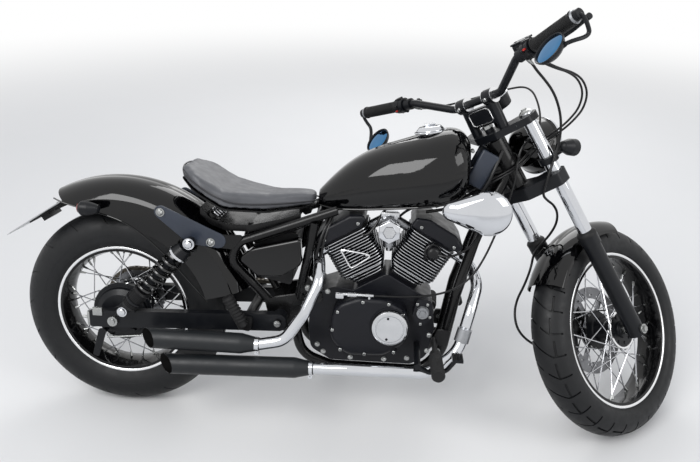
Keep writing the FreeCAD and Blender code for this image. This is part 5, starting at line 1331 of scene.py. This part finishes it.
# %% [markdown]
# The switch boxes are two moulded halves that meet in a seam and are held by screws. Small rounded
# blocks stand on each box where a thumb reaches them, one of them red. On the right the brake's fluid
# reservoir sits on the bar.

# %% Switches and reservoir
BOX_AT = -14
PERCH_AT = -41
buttons, reds, reservoir = bmesh.new(), bmesh.new(), bmesh.new()
for side in (-1, 1):
    spot, way = bar_line(side, BOX_AT)
    perch, _ = bar_line(side, PERCH_AT)
    block(buttons, aim(spot, ALONG, way) @ moved(0, 0, 22), (22, 16, 7), 2)
    for away in (-9, 9):
        centre = spot + way * away - ALONG * 20
        drum(buttons, centre, centre - ALONG * 4, 3.4, segments=14)
    rear = aim(spot - OUT * 21, -OUT, way)
    block(buttons, rear @ moved(-5, 6, 2), (9, 6, 7), 1.6)
    drum(buttons, rear @ Vector((6, -6, 0)), rear @ Vector((6, -6, 5)), 4.4, segments=18)
    block(reds, rear @ moved(5, 7, 3), (8, 5, 7), 1.4)
    hoop(buttons, [(22.1, -0.6), (22.9, -0.6), (22.9, 0.6), (22.1, 0.6)], spot, way, 36)
    socket_bolt(buttons, perch + ALONG * 15 - OUT * 4, ALONG, 5)
    pivot = perch + (ALONG * -0.35 + OUT * 0.94).normalized() * 40
    bolt(buttons, pivot + Vector((0, 0, 9)), (0, 0, 1), 6)
spot, way = bar_line(-1, PERCH_AT)
lie = aim(spot + OUT * 20 + ALONG * 16, ALONG, way)
block(reservoir, lie, (46, 34, 22), 4, 3)
block(reservoir, lie @ moved(0, 0, 13), (48, 36, 5), 1.5)
for across in (-18, 18):
    drum(reservoir, lie @ Vector((across, 0, 15)), lie @ Vector((across, 0, 17)), 3.6, segments=14)
piece("switches", buttons, "steering", "plastic_black", sharp=35)
piece("red_switches", reds, "steering", "plastic_black", red_plastic, sharp=35)
piece("brake_reservoir", reservoir, "steering", "satin_black", sharp=40)

# %% [markdown]
# The mirrors hang below the bar's ends on bent stalks. Their glass is slightly domed, as a real
# mirror is, and lies behind the rim of a spun bowl.

# %% Mirrors
MIRRORS = {-1: (876, -76, 342), 1: (826, -80, 348)}
MIRROR_BOWL = [(0, -19), (26, -18), (38, -9), (42, -2), (43.5, 3), (42, 4.4), (39.6, 3), (38.6, -0.4), (0, -0.4)]
MIRROR_GLASS = [(0, 1.6), (20, 1.3), (36, 0.7), (38.6, -0.2), (0, -0.2)]
glass, stalks = bmesh.new(), bmesh.new()
for side in (-1, 1):
    end, way = bar_line(side, GRIP_LENGTH + 9.6)
    up, out, away = MIRRORS[side]
    centre = fork_point(up, out, side * away)
    facing = Vector((-0.85, -0.1 * side, 0.5)).normalized()
    root = centre - facing * 12 + way * 34
    drum(stalks, end, end + way * 12, 14, 13, 28)
    spun(stalks, MIRROR_BOWL, centre, facing, 56)
    spun(glass, MIRROR_GLASS, centre, facing)
    wire(stalks, [end + way * 6, end + way * 16 - ALONG * 4, end + way * 17 - ALONG * 30,
                  end + way * 10 - ALONG * 56, root + way * 14, root - way * 8], 5.2)
    drum(stalks, root - way * 16, root + way * 4, 8, 7, 18)
piece("mirror_bodies", stalks, "steering", "satin_black", replaced=("mirrors",), sharp=35)
piece("mirror_glass", glass, "steering", "chrome", blue_mirror, sharp=40)

# %% [markdown]
# The lamps get what their solids lack: amber and red lenses on the signals, and on the headlamp a clear
# lens in a chrome bezel. The speedometer gets its bezel, a black face, ticks and a needle, and no text.

# %% Lenses and dial
LAMP, LAMP_WAY = fork_point(598, 145, 0), Vector((1, 0, -0.03)).normalized()
DIAL, DIAL_WAY = fork_point(717 + 62, FORK_OFFSET + 34, 0), Vector((-0.62, 0, 0.78)).normalized()
TICKS = 13
amber, red_lens, bezel, lens = bmesh.new(), bmesh.new(), bmesh.new(), bmesh.new()
dial, face, needle = bmesh.new(), bmesh.new(), bmesh.new()
for side in (-1, 1):
    spun(amber, [(0, 25.4), (10, 24.4), (17, 21), (19.4, 17.6), (0, 17.6)],
         fork_point(577, FORK_OFFSET + 48, side * 138), (1, 0, 0), 32)
    spun(red_lens, [(0, 29.5), (8, 28.6), (13, 26), (14.5, 23.6), (0, 23.6)], (-50, side * 130, 652), (-1, 0, 0), 32)
hoop(bezel, [(74, 12), (83.4, 4), (84.6, 8), (84, 14), (80, 18), (75, 19)], LAMP, LAMP_WAY, 96)
spun(lens, [(0, 30), (30, 28.6), (55, 24.6), (70, 20), (75.5, 17), (73, 15.5), (54, 21.5), (30, 25.4), (0, 26.8)],
     LAMP, LAMP_WAY, 72)
hoop(dial, [(31, 8.6), (35.8, 7.6), (36.2, 9.5), (34, 11.6), (31.6, 11.2)], DIAL, DIAL_WAY, 64)
spun(face, [(0, 10.6), (31.4, 10.6), (31.4, 10.2), (0, 10.2)], DIAL, DIAL_WAY, 64)
dial_place = aim(DIAL + DIAL_WAY * 11, DIAL_WAY, (1, 0, 0))
block(needle, dial_place @ Matrix.Rotation(0.9, 4, "Z") @ moved(9, 0, 0), (24, 1.6, 0.6), 0.2)
for i in range(TICKS):
    tick = dial_place @ Matrix.Rotation(math.radians(30 + 25 * i), 4, "Z") @ moved(26, 0, 0)
    block(needle, tick, (5 if i % 2 else 8, 1.2, 0.4), 0.1)
piece("front_signal_lenses", amber, "steering", "plastic_black", amber_lens, sharp=50)
piece("rear_lenses", red_lens, "frame", "plastic_black", red_lens_plastic, sharp=50)
piece("headlamp_bezel", bezel, "steering", "chrome")
piece("headlamp_lens", lens, "steering", "chrome", clear_glass, sharp=60)
piece("dial_bezel", dial, "steering", "chrome")
piece("dial_face", face, "steering", "plastic_black", dial_black, sharp=40)
piece("dial_needle_and_ticks", needle, "steering", "plastic_black", pale_paint, sharp=40)

# %% [markdown]
# The fork's two clamps close round the tubes with pinch bolts, the sliders carry dust seals, and the
# calliper is held by two bolts. The two risers and the window between them have a polished edge.

# %% Fork fittings
LOW_CLAMP, HIGH_CLAMP = 521, 707
RISER_SPREAD = 50
fork_trim, seals, edging = bmesh.new(), bmesh.new(), bmesh.new()
for side in (-1, 1):
    for level in (LOW_CLAMP, HIGH_CLAMP):
        bolt(fork_trim, fork_point(level, FORK_OFFSET + 24, side * (FORK_SPREAD + 6)), OUT, 7)
    socket_bolt(fork_trim, fork_point(HIGH_CLAMP, FORK_OFFSET - 40, side * 84), -OUT, 7)
    top = fork_point(HIGH_CLAMP + 16, FORK_OFFSET, side * FORK_SPREAD)
    spun(fork_trim, [(0, 7), (11, 6.4), (16, 3), (19, 0), (0, 0)], top, ALONG, 36)
    drum(fork_trim, top + ALONG * 6, top + ALONG * 11, 8, segments=6)
    hoop(seals, [(19.8, 0), (28.4, -3), (28.8, 2), (26, 7), (21.5, 11), (19.8, 12)],
         fork_point(330, FORK_OFFSET, side * FORK_SPREAD), ALONG)
    drum(fork_trim, FRONT_WHEEL + SIDE * side * 124, FRONT_WHEEL + SIDE * side * 129, 9, segments=6)
    socket_bolt(fork_trim, fork_point(809, 9 - 21, side * RISER_SPREAD), -OUT, 7)
    socket_bolt(fork_trim, fork_point(809, 9 + 21, side * RISER_SPREAD), OUT, 7)
    for end in (-16.5, 16.5):
        hoop(edging, [(11.6, end - 0.6), (21.2, end - 0.6), (21.2, end + 0.6), (11.6, end + 0.6)],
             fork_point(809, 9, side * RISER_SPREAD), SIDE, 32)
for up, out in ((30, -100), (56, -135)):
    bolt(fork_trim, FRONT_WHEEL + ALONG * up + OUT * out + SIDE * 80, SIDE, 8)
stem_top = fork_point(729, 0, 0)
drum(fork_trim, stem_top, stem_top + ALONG * 9, 15, segments=6)
window = aim(fork_point(717 + 48, 4 - 12, 0), -OUT, SIDE)
wire(edging, [window @ Vector((x, y, 0)) for x, y in ((-38, -21), (0, -21), (38, -21), (38, 0), (38, 21), (0, 21),
                                                      (-38, 21), (-38, 0))], 1.8, closed=True, sides=1)
piece("fork_fittings", fork_trim, "steering", "zinc_steel", sharp=32)
piece("fork_seals", seals, "steering", "grip_rubber", sharp=35)
piece("riser_edging", edging, "steering", "chrome", polished_edge, sharp=40)

# %% [markdown]
# The footpegs and the gear lever's toe piece are ribbed rubber too. Each rib is a step in the peg's
# line, so the whole peg stays one spun shape. The brake pedal's pad has four cross ribs.

# %% Ribbed pegs
pegs, tread = bmesh.new(), bmesh.new()


def ribbed(shape, start, end, radius, count):
    """A round rubber between two points with so many ribs."""
    start, end = Vector(start), Vector(end)
    length = (end - start).length
    pitch = (length - 4) / count
    line = [(0, 0), (radius * 0.8, 0)]
    for i in range(count):
        at = 2 + pitch * i
        line += [(radius * 0.92, at), (radius * 1.12, at + pitch * 0.25), (radius * 1.12, at + pitch * 0.65),
                 (radius * 0.92, at + pitch * 0.9)]
    line += [(radius * 0.8, length), (0, length + 1)]
    spun(shape, line, start, end - start, 28)


for side in (-1, 1):
    ribbed(pegs, (944, side * 196, 290), (949, side * 300, 284), 16.6, 12)
    ribbed(pegs, (391, side * 153.4, 345), (350, side * 157, 420), 15.4, 8)
ribbed(pegs, (1034, 178, 308), (1034, 222, 308), 10.4, 7)
for i in range(4):
    block(tread, moved(993.5 + 7.2 * i, -205, 301.2), (3.6, 40, 3.2), 0.8)
piece("ribbed_pegs", pegs, "frame", "peg_rubber", sharp=28)
piece("brake_pad_ribs", tread, "frame", "peg_rubber", sharp=35)

# %% [markdown]
# The number plate is blank. A rim of wire stands round it like the pressed edge of a real one, and two
# bolts hold it.

# %% Number plate
PLATE_TOP = Vector((-142, 0, 655))
PLATE_FOOT = Vector((-325, 0, 538))
PLATE_FACE = 6
plate_way = (PLATE_FOOT - PLATE_TOP).normalized()
on_plate = aim(PLATE_TOP, SIDE.cross(plate_way), plate_way)
plate_rim, plate_bolts = bmesh.new(), bmesh.new()
wire(plate_rim, [on_plate @ Vector((x, y, PLATE_FACE)) for x, y in (
    (4, -60), (4, -71), (14, -71), (108, -71), (202, -71), (212, -71), (212, -60), (212, 0), (212, 60), (212, 71),
    (202, 71), (108, 71), (14, 71), (4, 71), (4, 60), (4, 0))], 1.1, closed=True, sides=1)
for y in (-35, 35):
    bolt(plate_bolts, on_plate @ Vector((44, y, PLATE_FACE + 0.2)), on_plate.col[2].xyz, 5)
piece("plate_rim", plate_rim, "frame", "plate_sheet")
piece("plate_bolts", plate_bolts, "frame", "zinc_steel", sharp=32)
print(len(made), "pieces")

# %% [markdown]
# The studio has a pale floor and a world that is white where the camera or a mirror looks at it and
# grey where it lights. Far from the machine the floor fades to the same white, so no edge shows from
# any side; near it the floor is only paint and keeps the shadow.

# %% Floor and world
FLOOR_RADIUS = 60
FADE_FROM = 2.2
FADE_TO = 7.5
WORLD_STRENGTH = 0.8
WHITE = (1, 1, 1, 1)


def seen_directly(tree):
    """One where the camera, a mirror or clear glass looks straight at a thing, and zero elsewhere."""
    rays = add(tree, "ShaderNodeLightPath").outputs
    either = add(tree, "ShaderNodeMath", links={0: rays["Is Camera Ray"], 1: rays["Is Glossy Ray"]},
                 operation="MAXIMUM")
    any_of = add(tree, "ShaderNodeMath", links={0: either.outputs[0], 1: rays["Is Transmission Ray"]},
                 operation="MAXIMUM")
    return any_of.outputs[0]


floor = bmesh.new()
bmesh.ops.create_circle(floor, cap_ends=True, segments=96, radius=FLOOR_RADIUS)
floor_mesh = bpy.data.meshes.new("floor")
floor.to_mesh(floor_mesh)
floor.free()
floor_paint = finish("pale painted floor", ("d9d9d8", "dedddc"), (0.7, 0.8), (3.0, 10), patch=900)
paint = floor_paint.node_tree
spot = add(paint, "ShaderNodeTexCoord").outputs["Object"]
reach = add(paint, "ShaderNodeVectorMath", links={0: spot}, operation="LENGTH").outputs["Value"]
fade = add(paint, "ShaderNodeMapRange", {"From Min": FADE_FROM, "From Max": FADE_TO}, {"Value": reach},
           interpolation_type="SMOOTHSTEP").outputs["Result"]
share = add(paint, "ShaderNodeMath", links={0: fade, 1: seen_directly(paint)}, operation="MULTIPLY")
white = add(paint, "ShaderNodeEmission", {"Color": WHITE, "Strength": 1.0})
blend = add(paint, "ShaderNodeMixShader", links={0: share.outputs[0],
            1: paint.nodes["Principled BSDF"].outputs[0], 2: white.outputs[0]})
paint.links.new(blend.outputs[0], paint.nodes["Material Output"].inputs["Surface"])
floor_mesh.materials.append(floor_paint)
placed("floor", floor_mesh)

world = bpy.data.worlds.new("studio")
world.use_nodes = True
scene.world = world
sky = world.node_tree
sky.nodes.clear()
lighting = add(sky, "ShaderNodeBackground", {"Color": linear("dfe3ea"), "Strength": WORLD_STRENGTH})
backdrop = add(sky, "ShaderNodeBackground", {"Color": WHITE, "Strength": 1.0})
mixed = add(sky, "ShaderNodeMixShader", links={0: seen_directly(sky), 1: lighting.outputs[0],
            2: backdrop.outputs[0]})
add(sky, "ShaderNodeOutputWorld", links={"Surface": mixed.outputs[0]})
print("floor and world")

# %% [markdown]
# Three square soft boxes light it: a key high on the left of the picture, a weaker fill on its right
# and one behind the machine that draws its outline.

# %% Lamps


def lamp(name, place, target, size, power):
    """A square soft box that faces a point."""
    data = bpy.data.lights.new(name, "AREA")
    data.size = size
    data.energy = power
    obj = placed(name, data)
    obj.location = place
    obj.rotation_euler = (Vector(target) - Vector(place)).to_track_quat("-Z", "Y").to_euler()


lamp("key", (-1.6, -2.6, 3.4), (0, 0, 0.5), 2.2, 105)
lamp("fill", (3.2, -1.8, 2.6), (0.2, 0, 0.5), 2.0, 45)
lamp("back", (0.4, 3.4, 2.8), (0, 0, 0.5), 2.4, 55)
print("lit")
